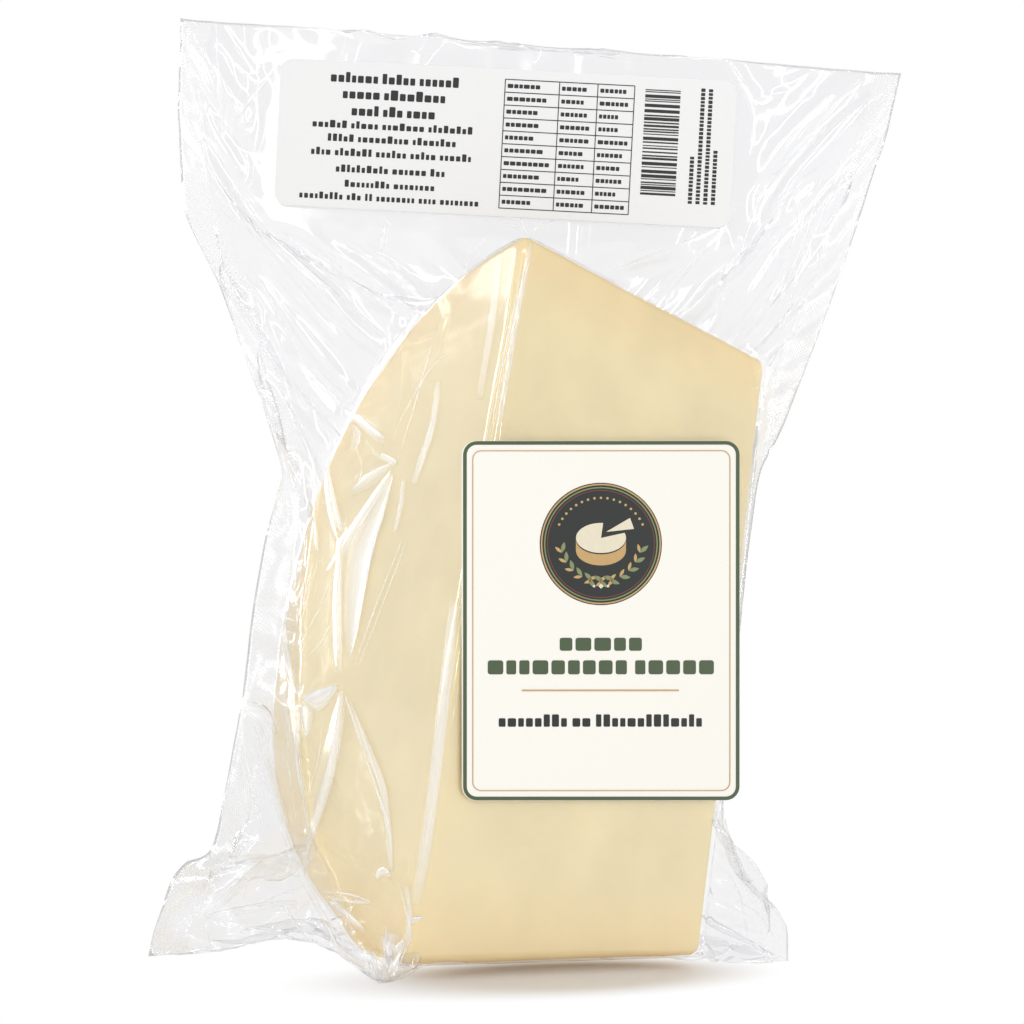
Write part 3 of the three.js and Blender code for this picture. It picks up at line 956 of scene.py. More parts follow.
def vacuum_film(bag):
    """Cast polyamide and polyethylene film, drawn tight by vacuum and heat-sealed at the sides"""
    material, tree, send = new_material("vacuum_film_cast_and_heat_sealed")
    place = add_node(tree, "TexCoord").outputs["Object"]
    flat = add_node(tree, "UVMap", uv_map="flat_bag").outputs["UV"]
    loose = add_node(tree, "Attribute", attribute_name="loose").outputs["Fac"]
    split = add_node(tree, "SeparateXYZ", {"Vector": flat})
    middle = bag.width * MM / 2
    from_middle = add_node(tree, "Math", {0: split.outputs["X"], 1: middle}, operation="SUBTRACT")
    aside = add_node(tree, "Math", {0: from_middle}, operation="ABSOLUTE")
    seam = add_node(tree, "MapRange", {"From Min": middle - (bag.seam + 0.6) * MM,
                                       "From Max": middle - bag.seam * MM, "Value": aside})
    # The sealing jaw leaves a step and a knurl of small dots.
    sines = []
    for axis in ("X", "Y"):
        turn = add_node(tree, "Math", {0: split.outputs[axis], 1: 2 * math.pi / (KNURL * MM)},
                        operation="MULTIPLY")
        sines.append(add_node(tree, "Math", {0: turn}, operation="SINE"))
    dots = add_node(tree, "Math", {0: sines[0], 1: sines[1]}, operation="MULTIPLY")
    relief = add_node(tree, "Math", {0: dots, 1: 0.3, 2: 1.0}, operation="MULTIPLY_ADD")
    dot_depth = add_node(tree, "Math", {0: relief, 1: seam}, operation="MULTIPLY")
    # Film drawn tight still has slow ripples, about 15 mm long.
    ripples = add_node(tree, "TexNoise", {"Scale": 66.0, "Detail": 2.0, "Distortion": 0.4, "Vector": place})
    ripple_bump = add_node(tree, "Bump", {"Strength": 0.15, "Distance": 0.0006, "Height": ripples})
    dot_bump = add_node(tree, "Bump", {"Strength": 0.16, "Distance": 0.0003, "Height": dot_depth,
                                       "Normal": ripple_bump})
    # The seal is milky, and film that nothing wets is a little hazy.
    veil = add_node(tree, "MapRange", {"To Min": 0.0, "To Max": 0.12, "Value": loose})
    specks = add_node(tree, "Math", {0: dots, 1: 0.05, 2: 0.19}, operation="MULTIPLY_ADD")
    haze = add_node(tree, "Math", {0: seam, 1: specks, 2: veil}, operation="MULTIPLY_ADD")
    send(clear_film(tree, bag, dot_bump, loose, haze))
    return material


# Sharp folds in the film, each a line of pixels of the photograph, with its width in mm

NEAR_EDGE_FOLDS = (
    (((529, 249), (512, 330), (495, 438)), 1.1),
    (((524, 262), (506, 345), (490, 438)), 0.7),
)
END_FACE_FOLDS = (
    (((437, 296), (443, 318), (438, 340)), 2.4),
    (((433, 254), (431, 276), (430, 298)), 1.0),
    (((344, 411), (364, 424), (384, 437)), 1.4),
    (((402, 335), (380, 362), (360, 398)), 0.7),
    (((407, 331), (386, 360), (366, 398)), 0.5),
    (((407, 302), (413, 320)), 0.9),
    (((432, 342), (416, 400), (400, 453)), 0.7),
    (((452, 350), (428, 372), (392, 435)), 0.6),
    (((428, 434), (423, 460), (415, 482)), 0.9),
    (((328, 484), (335, 510), (341, 534)), 1.2),
    (((391, 480), (366, 515), (343, 556)), 0.9),
    (((391, 480), (372, 553), (356, 614), (349, 656)), 1.0),
    (((339, 572), (338, 620), (338, 671)), 0.7),
    (((403, 537), (378, 600), (352, 671)), 0.7),
    (((408, 537), (384, 600), (358, 668)), 0.5),
    (((402, 480), (399, 505), (394, 532)), 0.7),
    (((312, 512), (315, 530), (316, 551)), 0.7),
    (((310, 543), (307, 560), (303, 574)), 0.6),
    (((335, 616), (322, 640), (305, 660)), 0.7),
    (((282, 643), (287, 668), (296, 694)), 1.6),
    (((304, 698), (322, 690), (339, 685)), 0.8),
    (((304, 698), (312, 704), (318, 712)), 0.8),
    (((318, 712), (330, 699), (339, 685)), 0.7),
    (((302, 726), (306, 736), (312, 728)), 0.7),
    (((241, 709), (259, 708), (272, 721), (275, 734)), 1.0),
    (((343, 690), (334, 745), (320, 807), (303, 868)), 1.2),
    (((347, 692), (339, 748), (326, 808)), 0.7),
    (((343, 690), (368, 765), (389, 830), (391, 876)), 1.2),
    (((350, 700), (378, 782), (386, 830)), 0.7),
    (((299, 748), (304, 790), (309, 830)), 1.0),
    (((234, 738), (248, 782), (262, 826)), 0.8),
    (((249, 740), (270, 795), (291, 851)), 0.9),
    (((318, 560), (310, 590), (300, 622)), 0.6),
    (((325, 600), (312, 622), (298, 650)), 0.6),
    (((300, 545), (296, 575), (290, 600)), 0.6),
    (((312, 566), (303, 600), (296, 640)), 0.5),
    (((330, 575), (324, 596), (316, 612)), 0.5),
    (((356, 446), (362, 470), (354, 490)), 0.6),
    (((366, 440), (378, 456), (395, 463)), 0.7),
    (((296, 707), (297, 765), (310, 838)), 1.2),
    (((290, 712), (288, 760), (296, 820)), 0.6),
    (((322, 720), (318, 760), (306, 800)), 0.6),
    (((322, 891), (348, 894), (372, 902)), 0.9),
    (((322, 891), (344, 910), (364, 930)), 0.9),
    (((376, 874), (384, 868), (391, 876)), 1.0),
)
FLAP_FOLDS = (
    (((266, 232), (296, 260), (312, 279), (325, 291)), 1.4),
    (((287, 235), (337, 272), (394, 308)), 1.0),
    (((356, 312), (370, 325), (385, 338)), 1.0),
    (((260, 281), (298, 352), (308, 371)), 0.8),
    (((308, 371), (324, 387), (341, 404)), 1.5),
    (((380, 254), (404, 276), (428, 300)), 0.9),
    (((383, 226), (384, 240), (382, 251)), 2.4),
    (((461, 236), (475, 250), (490, 266)), 0.8),
    (((488, 238), (474, 252), (464, 268)), 0.8),
    (((529, 237), (515, 226), (498, 220)), 0.9),
    (((529, 237), (540, 226), (556, 220)), 0.8),
    (((529, 237), (522, 222), (519, 208)), 0.7),
    (((216, 20), (219, 80), (222, 135)), 1.6),
    (((278, 65), (250, 100), (222, 135)), 1.0),
    (((724, 53), (753, 108), (750, 158)), 2.0),
    (((868, 70), (820, 124), (771, 176)), 1.3),
    (((724, 226), (664, 250), (604, 273)), 0.9),
    (((724, 226), (696, 260), (668, 293)), 0.9),
    (((791, 191), (800, 215), (791, 249)), 1.4),
    (((832, 188), (840, 172), (841, 158)), 1.6),
    (((771, 179), (760, 200), (745, 240), (738, 262)), 0.9),
    (((832, 190), (812, 240), (790, 300), (782, 330)), 1.2),
    (((818, 196), (804, 240), (784, 290)), 0.8),
    (((533, 38), (541, 52), (533, 66)), 1.6),
)
FOOT_FOLDS = (
    (((230, 861), (258, 858), (288, 857)), 1.0),
    (((230, 880), (268, 876), (295, 865)), 1.0),
    (((230, 918), (280, 895), (303, 886)), 1.0),
    (((238, 934), (262, 931), (284, 930)), 0.8),
    (((240, 712), (257, 726), (277, 795), (295, 857)), 1.3),
    (((241, 718), (248, 765), (263, 822)), 1.0),
    (((236, 700), (262, 740), (282, 800)), 0.7),
    (((214, 800), (240, 830), (280, 852)), 0.8),
    (((280, 899), (303, 934), (338, 972)), 1.2),
    (((284, 934), (322, 957), (357, 980)), 1.0),
    (((256, 866), (246, 888), (240, 905)), 0.8),
    (((362, 945), (368, 965), (381, 988)), 0.9),
    (((372, 950), (380, 968), (384, 986)), 0.9),
    (((392, 946), (390, 962), (398, 980)), 0.9),
    (((384, 940), (396, 948), (404, 960)), 0.9),
    (((204, 916), (232, 888), (260, 861)), 1.0),
    (((204, 916), (250, 908), (296, 905)), 1.0),
    (((204, 916), (240, 925), (277, 930)), 0.9),
    (((204, 916), (209, 938), (214, 958)), 0.8),
    (((301, 880), (328, 928), (352, 974)), 1.4),
    (((296, 862), (330, 925), (366, 985)), 1.0),
    (((398, 968), (406, 948), (410, 930), (398, 882)), 1.2),
    (((398, 977), (437, 963), (498, 966)), 1.0),
    (((412, 920), (418, 917), (423, 920)), 1.0),
    (((385, 925), (387, 937), (384, 950)), 1.2),
    (((722, 850), (757, 890), (788, 928)), 0.9),
    (((728, 872), (742, 900), (748, 940)), 0.9),
    (((735, 900), (760, 915), (778, 945)), 0.8),
)
# Pleats that the vacuum has pressed flat, so that the film is doubled: pixels down one edge and down the
# other, how milky they are, and the edge that is sharp. Their milk is partly painted highlight: white laid on
# along the lines where the highlights fall.
PRESSED_PLEATS = (
    (((391, 473), (370, 508), (350, 545), (345, 580), (344, 620), (348, 655)),
                 ((394, 474), (384, 515), (373, 552), (364, 598), (357, 635), (351, 657)), 1.0, "other"),
    (((341, 548), (352, 527), (366, 505), (391, 473)), ((344, 564), (358, 536), (372, 512), (393, 475)),
     0.8, "one"),
    (((338, 545), (337, 590), (338, 640), (340, 672)), ((343, 548), (342, 590), (342, 640), (343, 672)),
     0.7, "both"),
    (((343, 407), (356, 413), (369, 423), (385, 437)), ((345, 416), (358, 426), (370, 437), (384, 447)),
     1.0, "one"),
    (((303, 697), (318, 690), (338, 684)), ((305, 705), (321, 712), (339, 690)), 1.4, "one"),
    (((303, 700), (302, 716), (306, 738)), ((309, 702), (315, 716), (309, 737)), 0.9, "one"),
    (((281, 622), (283, 650), (288, 680), (294, 695)), ((286, 620), (290, 650), (294, 676), (298, 692)),
     0.8, "both"),
    (((241, 706), (256, 703), (269, 711), (277, 734)), ((242, 711), (256, 712), (265, 720), (274, 736)),
     0.9, "one"),
    (((338, 690), (334, 725), (326, 765), (314, 808), (300, 850), (296, 864)),
                 ((345, 690), (343, 725), (337, 768), (326, 808), (312, 845), (303, 866)), 0.55, "both"),
    (((345, 700), (355, 728), (367, 758), (379, 788), (385, 830), (388, 872)),
                 ((352, 700), (364, 728), (377, 758), (388, 788), (393, 830), (395, 872)), 0.4, "both"),
    (((449, 600), (440, 680), (429, 770), (418, 850), (409, 905)),
                 ((460, 600), (453, 680), (443, 770), (432, 850), (421, 905)), 0.7, "both"),
    (((436, 290), (441, 318), (433, 344)), ((442, 288), (448, 318), (439, 348)), 0.7, "both"),
    (((436, 380), (429, 425), (410, 484)), ((442, 380), (436, 428), (417, 486)), 0.5, "both"),
    (((428, 296), (404, 328), (378, 364), (350, 404)), ((433, 300), (410, 334), (385, 370), (355, 408)),
     0.5, "both"),
    (((352, 489), (368, 473), (395, 461)), ((354, 497), (373, 487), (396, 466)), 0.6, "one"),
    (((381, 452), (389, 456), (398, 461)), ((380, 460), (388, 464), (397, 467)), 0.9, "one"),
    (((346, 420), (352, 432), (350, 450)), ((356, 424), (362, 436), (356, 452)), 0.5, "other"),
    (((297, 706), (295, 765), (309, 838)), ((301, 706), (301, 765), (313, 838)), 0.6, "both"),
    (((240, 712), (255, 730), (273, 797), (291, 857)), ((246, 711), (263, 728), (282, 795), (298, 855)),
     0.5, "both"),
    (((280, 852), (288, 862), (283, 876)), ((296, 848), (300, 862), (300, 878)), 0.8, "one"),
    (((296, 852), (302, 862), (304, 876)), ((306, 850), (309, 862), (306, 874)), 0.7, "other"),
    (((228, 857), (258, 854), (288, 853)), ((229, 865), (259, 863), (288, 861)), 0.5, "both"),
    (((278, 897), (300, 934), (334, 972)), ((285, 895), (308, 930), (342, 970)), 0.5, "one"),
    (((353, 938), (356, 960), (372, 984)), ((363, 934), (366, 957), (382, 985)), 0.6, "one"),
    (((392, 950), (398, 944), (404, 938)), ((394, 964), (402, 957), (409, 948)), 0.9, "one"),
    (((325, 468), (330, 498), (338, 532)), ((330, 466), (336, 498), (345, 530)), 0.7, "both"),
    (((310, 512), (312, 532), (317, 552)), ((315, 511), (318, 532), (320, 550)), 0.6, "both"),
    (((402, 478), (399, 505), (392, 534)), ((406, 478), (404, 505), (397, 534)), 0.4, "both"),
    (((262, 870), (278, 861), (298, 856)), ((264, 881), (281, 881), (298, 872)), 0.7, "other"),
    (((299, 834), (305, 850), (299, 868)), ((311, 836), (316, 852), (304, 872)), 0.5, "other"),
    (((297, 880), (311, 912), (329, 945), (347, 972)), ((303, 878), (319, 910), (337, 942), (354, 968)),
     0.5, "one"),
    (((330, 896), (350, 899), (372, 900)), ((331, 902), (351, 904), (373, 905)), 0.5, "both"),
    (((330, 899), (350, 913), (366, 927)), ((328, 905), (346, 918), (364, 933)), 0.6, "both"),
    (((375, 875), (382, 867), (390, 870)), ((377, 882), (385, 877), (393, 881)), 0.9, "one"),
    (((410, 917), (417, 916), (424, 917)), ((411, 927), (416, 923), (423, 919)), 0.9, "one"),
    (((373, 934), (366, 955), (361, 978)), ((386, 938), (380, 958), (371, 984)), 0.6, "other"),
    (((388, 930), (386, 950), (388, 966)), ((403, 934), (397, 952), (392, 970)), 0.8, "one"),
    (((404, 885), (407, 915), (402, 945)), ((410, 884), (413, 916), (408, 948)), 0.5, "both"),
    (((351, 946), (352, 960), (360, 976)), ((360, 944), (361, 958), (367, 977)), 0.9, "one"),
    (((367, 952), (370, 966), (377, 981)), ((374, 948), (378, 964), (383, 981)), 1.0, "one"),
    (((379, 934), (382, 952), (381, 979)), ((388, 936), (390, 954), (387, 980)), 1.0, "other"),
    (((396, 950), (392, 964), (389, 979)), ((404, 946), (399, 962), (394, 977)), 0.9, "other"),
    (((204, 914), (234, 885), (262, 860)), ((208, 920), (239, 892), (266, 868)), 0.5, "one"),
    (((204, 914), (250, 905), (296, 900)), ((206, 921), (251, 914), (297, 909)), 0.4, "one"),
    (((225, 925), (277, 929), (325, 957)), ((226, 932), (276, 937), (322, 964)), 0.4, "one"),
    (((266, 230), (298, 259), (340, 296)), ((262, 237), (294, 268), (334, 304)), 0.5, "one"),
    (((287, 233), (338, 269), (394, 305)), ((285, 239), (334, 276), (391, 312)), 0.4, "both"),
    (((307, 369), (324, 385), (343, 402)), ((303, 376), (320, 393), (339, 410)), 0.6, "both"),
    (((495, 252), (488, 320), (476, 400)), ((505, 252), (497, 320), (483, 400)), 0.35, "both"),
    (((528, 242), (512, 330), (496, 430)), ((534, 242), (518, 330), (501, 430)), 0.5, "both"),
)

# A pressed pleat's points across, its rise off the film and its thickness, and the furthest that it may
# step, as it would where its line runs off one part of the bag onto another
PRESSED_STEPS = 5
PRESSED_RISE = 0.12
PRESSED_THICKNESS = 0.1
LONGEST_JUMP = 14.0

# A fold's points round and the pixels between its rings, how flat it is, the share of its drawn width that
# it keeps, how far and how fast that wanders, and how far it stands off the film. One that is broken by the
# bag's shape, or that is hardly seen, is left out.
FOLD_SIDES = 8
FOLD_STEP_PIXELS = 2.2
FOLD_FLATNESS = 0.42
FOLD_SLIMMING = 0.6
FOLD_WANDER = 0.25
FOLD_WAVES = 9
FOLD_RISE = 0.05
FOLD_LONGEST_JUMP = 6.0
FEWEST_SPOTS = 4
# The milk of a fold is partly painted highlight: white laid on where a highlight falls.
FOLD_MILK_AND_PAINTED_HIGHLIGHT = 0.5


def curve_through(line, spacing):
    """Points on a smooth curve through a fold's pixels"""
    points = np.array(line, float)
    if len(points) == 2:
        points = np.array((points[0], points.mean(0), points[1]))
    run = run_along(points)
    count = max(int(run[-1] / spacing), 4)
    even = np.linspace(0, run[-1], count + 1)
    ghost = np.vstack((2 * points[0] - points[1], points, 2 * points[-1] - points[-2]))
    made = []
    for place in even:
        k = min(int(np.searchsorted(run, place, side="right")) - 1, len(points) - 2)
        t = (place - run[k]) / (run[k + 1] - run[k])
        a, b, c, d = ghost[k:k + 4]
        made.append(0.5 * (2 * b + (c - a) * t + (2 * a - 5 * b + 4 * c - d) * t ** 2
                           + (3 * b - a - 3 * c + d) * t ** 3))
    return np.array(made)


def spot_on_film(tree, pixel):
    """Where the film is that the camera sees through a pixel, and the film's normal towards the camera"""
    camera = Vector((CAMERA_PLACE + STAND) * MM)
    hit, normal, _, _ = tree.ray_cast(camera, Vector(photo_ray(*pixel)))
    if hit is None:
        return None
    if normal.dot(camera - hit) < 0:
        normal = -normal
    return np.array(hit) / MM - STAND, np.array(normal)


def fold_on_film(tree, line, width, wander):
    """A long closed welt, pointed at both ends, laid on the film under a line of pixels"""
    spots = [spot_on_film(tree, pixel) for pixel in curve_through(line, FOLD_STEP_PIXELS)]
    spots = [spot for spot in spots if spot]
    if len(spots) < FEWEST_SPOTS:
        return None
    places, normals = (np.array(part) for part in zip(*spots))
    even_out(places, 2)
    even_out(normals, 2)
    if np.linalg.norm(np.diff(places, axis=0), axis=1).max() > FOLD_LONGEST_JUMP:
        return None
    way = unit(np.gradient(places, axis=0))
    side = unit(np.cross(normals, way))
    out = np.cross(way, side)
    share = np.linspace(0, 1, len(places))
    half = FOLD_SLIMMING * width / 2 * np.abs(np.sin(np.pi * share)) ** TAPER
    half *= 1 + FOLD_WANDER * np.sin(wander + FOLD_WAVES * share)
    turn = np.arange(FOLD_SIDES)[:, None] * 2 * math.pi / FOLD_SIDES
    reach, rise = np.cos(turn), np.sin(turn) * FOLD_FLATNESS + FOLD_RISE
    rings = places[:, None] + (side[:, None] * reach + out[:, None] * rise) * half[:, None, None]
    points = np.concatenate((rings[1:-1].reshape(-1, 3), places[:1], places[-1:]))
    return points, tube_faces(len(rings) - 2, FOLD_SIDES), np.full(len(points), FOLD_MILK_AND_PAINTED_HIGHLIGHT)


def along_line(line, count):
    """Evenly spaced pixels on a smooth curve through a few"""
    made = curve_through(line, 0.5)
    return made[np.linspace(0, len(made) - 1, count).round().astype(int)]


def pressed_on_film(tree, one, other, milk_and_painted_highlight, sharp):
    """A thin closed sheet on the film between two lines of pixels, and how milky each of its points is, which
    is partly painted highlight
    """
    count = max(int(run_along(np.array(one, float))[-1] / FOLD_STEP_PIXELS), 5)
    across, along = np.linspace(0, 1, PRESSED_STEPS), np.linspace(0, 1, count)[:, None]
    spots = [spot_on_film(tree, start + (stop - start) * share)
             for start, stop in zip(along_line(one, count), along_line(other, count)) for share in across]
    if not all(spots):
        return None
    places, outs = (np.array(part).reshape(count, PRESSED_STEPS, 3) for part in zip(*spots))
    if max(np.linalg.norm(np.diff(places, axis=axis), axis=-1).max() for axis in (0, 1)) > LONGEST_JUMP:
        return None
    even_out(outs, 1)
    outs = unit(outs)
    profile = {"one": 1 - across, "other": across, "both": np.sin(np.pi * across)}[sharp]
    # The milk is whitest at the sharp edge and fades across the pleat and towards its ends, as a painted
    # highlight on a lit facet.
    milk_and_painted_highlight = milk_and_painted_highlight * profile * np.clip(4 * along * (1 - along), 0, 1) ** 0.5
    low = places + outs * PRESSED_RISE
    high = low + outs * PRESSED_THICKNESS
    points = np.concatenate((low.reshape(-1, 3), high.reshape(-1, 3)))
    index = np.arange(2 * count * PRESSED_STEPS).reshape(2, count, PRESSED_STEPS)
    corners = np.stack((index[:, :-1, :-1], index[:, :-1, 1:], index[:, 1:, 1:], index[:, 1:, :-1]), -1)
    rim = np.concatenate((index[:, 0], index[:, 1:, -1], index[:, -1, -2::-1], index[:, -2:0:-1, 0]),
                         axis=1)
    after = np.roll(rim, -1, axis=1)
    walls = np.stack((rim[0], after[0], after[1], rim[1]), -1)
    faces = np.concatenate((corners[0].reshape(-1, 4)[:, ::-1], corners[1].reshape(-1, 4), walls)).tolist()
    return points, faces, np.tile(milk_and_painted_highlight.ravel(), 2)


def make_folds(context):
    bag = sizes(context)[1]
    film = bpy.data.objects["film"].data
    tree = BVHTree.FromPolygons([v.co for v in film.vertices], [p.vertices for p in film.polygons])
    draw = np.random.default_rng(bag.seed)
    folds = [*NEAR_EDGE_FOLDS, *END_FACE_FOLDS, *FLAP_FOLDS, *FOOT_FOLDS]
    sheets = [fold_on_film(tree, line, width, draw.uniform(0, 6)) for line, width in folds]
    sheets += [pressed_on_film(tree, *pleat) for pleat in PRESSED_PLEATS]
    points, faces, milk_and_painted_highlight, used = [], [], [], 0
    for spots, sides, milkiness_and_painted_highlight in filter(None, sheets):
        points.append(spots)
        faces.extend([k + used for k in side] for side in sides)
        milk_and_painted_highlight.append(milkiness_and_painted_highlight)
        used += len(spots)
    thing = make_object("film_folds", np.concatenate(points), faces, [folded_film(bag)])
    # The milk attribute carries the painted highlight to the folded film's material.
    attribute = thing.data.attributes.new("milk_and_painted_highlight", "FLOAT", "POINT")
    attribute.data.foreach_set("value", np.concatenate(milk_and_painted_highlight).astype(np.float32))
    thing.visible_shadow = False
    hand_in(thing, "bag")
    return thing


FOLD_MIRROR = 0.1
FOLD_VEIL = 0.6


def folded_film(bag):
    """The same film where a fold doubles it: thicker, so it catches more light, and whitened by its milk,
    which is partly painted highlight
    """
    material, tree, send = new_material("vacuum_film_folded")
    place = add_node(tree, "TexCoord").outputs["Object"]
    ripple = add_node(tree, "TexNoise", {"Scale": 260.0, "Detail": 2.0, "Vector": place})
    bump = add_node(tree, "Bump", {"Strength": 0.2, "Distance": 0.0003, "Height": ripple})
    through = add_node(tree, "BsdfTransparent", {"Color": opaque(bag.clear)})
    # Pressed creases are full of small facets that throw the lamps' light wide, which the rough gloss does;
    # the white matt share is painted highlight, laid on by the milk.
    matt = add_node(tree, "BsdfDiffuse", {"Color": WHITE, "Normal": bump})
    facets = add_node(tree, "BsdfGlossy", {"Roughness": 0.6, "Normal": bump})
    milky = add_node(tree, "MixShader", {"Fac": 0.5, 1: matt, 2: facets})
    # The milk marks where the painted highlight lies.
    milk_and_painted_highlight = add_node(tree, "Attribute", attribute_name="milk_and_painted_highlight").outputs["Fac"]
    veil = add_node(tree, "Math", {0: milk_and_painted_highlight, 1: FOLD_VEIL}, operation="MULTIPLY")
    body = add_node(tree, "MixShader", {"Fac": veil, 1: through, 2: milky})
    gloss = add_node(tree, "BsdfGlossy", {"Roughness": 0.15, "Normal": bump})
    share = add_node(tree, "Math", {0: mirror_share(tree, FOLD_MIRROR, bump), 1: milk_and_painted_highlight},
                     operation="MULTIPLY")
    shader = add_node(tree, "MixShader", {"Fac": share, 1: body, 2: gloss})
    send(shader)
    return material


# Printed labels

# The card's corners on the cut face, as places along the face and up it
CARD_CORNERS = ((-9.1, 119.9), (89.8, 149.9), (107.4, 43.7), (7.9, 36.7))
CARD_GRID = (277.0, 359.0)
CARD_STAND_OFF = 1.3
CARD_CLEARANCE = 1.0
CARD_THICKNESS = 0.4
SOFT_EDGE = 0.3
INK_RISE = 0.03
INK_THICKNESS = 0.03

# Blocks in place of letters: how much their widths vary, the space between words in gaps between letters,
# how many are tall and how tall, and how round their corners are
LETTER_WIDTHS = (0.55, 0.95)
WORD_SPACE = 2.6
TALL_LETTERS = 0.3
ASCENDER = 1.45
LETTER_ROUNDING = 0.18

Label = namedtuple("Label", "x up width height tilt stand_off thickness")
BACK_LABEL = Label(-12.2, 5.7, 143.0, 46.0, math.radians(6.1), 1.013, 0.3)


def stretch_matrix(corners, grid):
    """The matrix that carries the print's flat grid to four corners, as a tapering sheet"""
    wide, tall = grid
    rows, goals = [], []
    for (x, y), (u, v) in zip(((0, 0), (wide, 0), (wide, tall), (0, tall)), corners):
        rows.append((x, y, 1, 0, 0, 0, -u * x, -u * y))
        rows.append((0, 0, 0, x, y, 1, -v * x, -v * y))
        goals.extend((u, v))
    solved = np.linalg.solve(np.array(rows, float), np.array(goals, float))
    return np.append(solved, 1.0).reshape(3, 3)


def card_place():
    """A function from the card's print grid and a rise off the card's face to a point"""
    matrix = stretch_matrix(CARD_CORNERS, CARD_GRID)

    def place(spots, rise):
        spots = np.asarray(spots, float)
        carried = np.c_[spots, np.ones(len(spots))] @ matrix.T
        flat = carried[:, :2] / carried[:, 2:]
        return flat[:, :1] * ALONG + flat[:, 1:] * UP - INWARD * (CARD_STAND_OFF + rise)

    return place


def back_label_place():
    """A function from millimetres right of and below the back label's top left corner to a point"""
    right = np.array((math.cos(BACK_LABEL.tilt), math.sin(BACK_LABEL.tilt)))
    top = np.array((-right[1], right[0]))

    def place(spots, rise):
        spots = np.asarray(spots, float)
        across = spots[:, :1] - BACK_LABEL.width / 2
        high = BACK_LABEL.height / 2 - spots[:, 1:]
        flat = np.array((BACK_LABEL.x, BACK_LABEL.up)) + across * right + high * top
        sideways = flat[:, :1] * np.array((1.0, 0.0, 0.0))
        return FLAP_PIVOT + sideways + flat[:, 1:] * FLAP_RISE + FLAP_FRONT * (BACK_LABEL.stand_off + rise)

    return place


def rounded_rectangle(left, top, right, bottom, radius, steps=8):
    """The outline of a rectangle with round corners"""
    corners = ((right - radius, top + radius, -90), (right - radius, bottom - radius, 0),
               (left + radius, bottom - radius, 90), (left + radius, top + radius, 180))
    return np.concatenate([(x, y) + radius * circle(np.radians(start + np.linspace(0, 90, steps)))
                           for x, y, start in corners])


def disc(x, y, radius, sides=72):
    """A regular outline of so many sides"""
    return (x, y) + radius * circle(np.arange(sides) * 2 * math.pi / sides)


class Print:
    """Collects flat shapes of one ink and makes them one thin raised mesh"""

    def __init__(self, place, rise):
        self.place, self.rise = place, rise
        self.points, self.faces, self.used = [], [], 0

    def add(self, spots, rows):
        self.points.append(self.place(spots, self.rise))
        self.points.append(self.place(spots, self.rise + INK_THICKNESS))
        self.faces.extend(tuple(k + self.used for k in row) for row in rows)
        self.used += 2 * len(spots)

    def patch(self, outline):
        """A filled shape"""
        count = len(outline)
        bottom = tuple(range(count))
        top = tuple(range(2 * count - 1, count - 1, -1))
        walls = [(k, k + count, (k + 1) % count + count, (k + 1) % count) for k in range(count)]
        self.add(outline, [bottom, top, *walls])

    def band(self, outer, inner):
        """A shape between two outlines with as many points"""
        count = len(outer)
        both = np.concatenate((outer, inner))
        rows = []
        for k in range(count):
            after = (k + 1) % count
            a, b, c, d = k, after, after + count, k + count
            lift = 2 * count
            rows += [(a, b, c, d), (a + lift, d + lift, c + lift, b + lift)]
            rows += [(a, a + lift, b + lift, b), (d, c, c + lift, d + lift)]
        self.add(both, rows)

    def bar(self, left, top, right, bottom, radius=0.0):
        if radius:
            self.patch(rounded_rectangle(left, top, right, bottom, radius, 4))
        else:
            self.patch(np.array(((left, top), (right, top), (right, bottom), (left, bottom))))

    def words(self, draw, left, right, middle, height, counts, gap, ascenders=False):
        """A line of letter-sized blocks, in words of these many blocks, centred between two ends"""
        widths = [draw.uniform(*LETTER_WIDTHS, count) for count in counts]
        total = sum(w.sum() for w in widths)
        blocks = sum(counts)
        space = WORD_SPACE * gap
        scale = (right - left - gap * (blocks - len(counts)) - space * (len(counts) - 1)) / total
        x = left
        for word in widths:
            for width in word * scale:
                high = height
                if ascenders and draw.uniform() < TALL_LETTERS:
                    high = height * ASCENDER
                foot = middle + height / 2
                self.bar(x, foot - high, x + width, foot, min(width, height) * LETTER_ROUNDING)
                x += width + gap
            x += space - gap

    def make(self, name, material):
        return make_object(name, np.concatenate(self.points), self.faces, [material], smooth=False)


def make_plate(name, place, outline, thickness, material):
    """A thin sheet with softened edges"""
    count = len(outline)
    middle = outline.mean(axis=0)
    soft = SOFT_EDGE * thickness
    pull = (outline - middle) / np.linalg.norm(outline - middle, axis=1, keepdims=True)
    rings = [(outline, 0.0), (outline, thickness - soft), (outline - pull * soft, thickness)]
    points = np.concatenate([place(ring, rise) for ring, rise in rings])
    faces = [tuple(range(count)), tuple(range(3 * count - 1, 2 * count - 1, -1))]
    for ring in range(2):
        low, high = ring * count, (ring + 1) * count
        for k in range(count):
            after = (k + 1) % count
            faces.append((low + k, high + k, high + after, low + after))
    return make_object(name, points, faces, [material], smooth=False)


def uneven_sheet(name, colour, scale, detail, tones, roughness, ior, relief=0.0, metallic=0.0):
    """The finish of a sheet or an ink: a little uneven in tone, with a faint relief where it has one"""
    material, tree, send = new_material(name)
    place = add_node(tree, "TexCoord").outputs["Object"]
    grain = add_node(tree, "TexNoise", {"Scale": scale, "Detail": detail, "Vector": place})
    tone = add_node(tree, "MapRange", {"To Min": tones[0], "To Max": tones[1], "Value": grain})
    shade = add_node(tree, "VectorMath", {0: colour, "Scale": tone}, operation="SCALE")
    finish = {"Roughness": roughness, "Metallic": metallic, "IOR": ior, "Base Color": shade}
    if relief:
        finish["Normal"] = add_node(tree, "Bump", {"Strength": relief, "Distance": 0.0001, "Height": grain})
    send(add_node(tree, "BsdfPrincipled", finish))
    return material


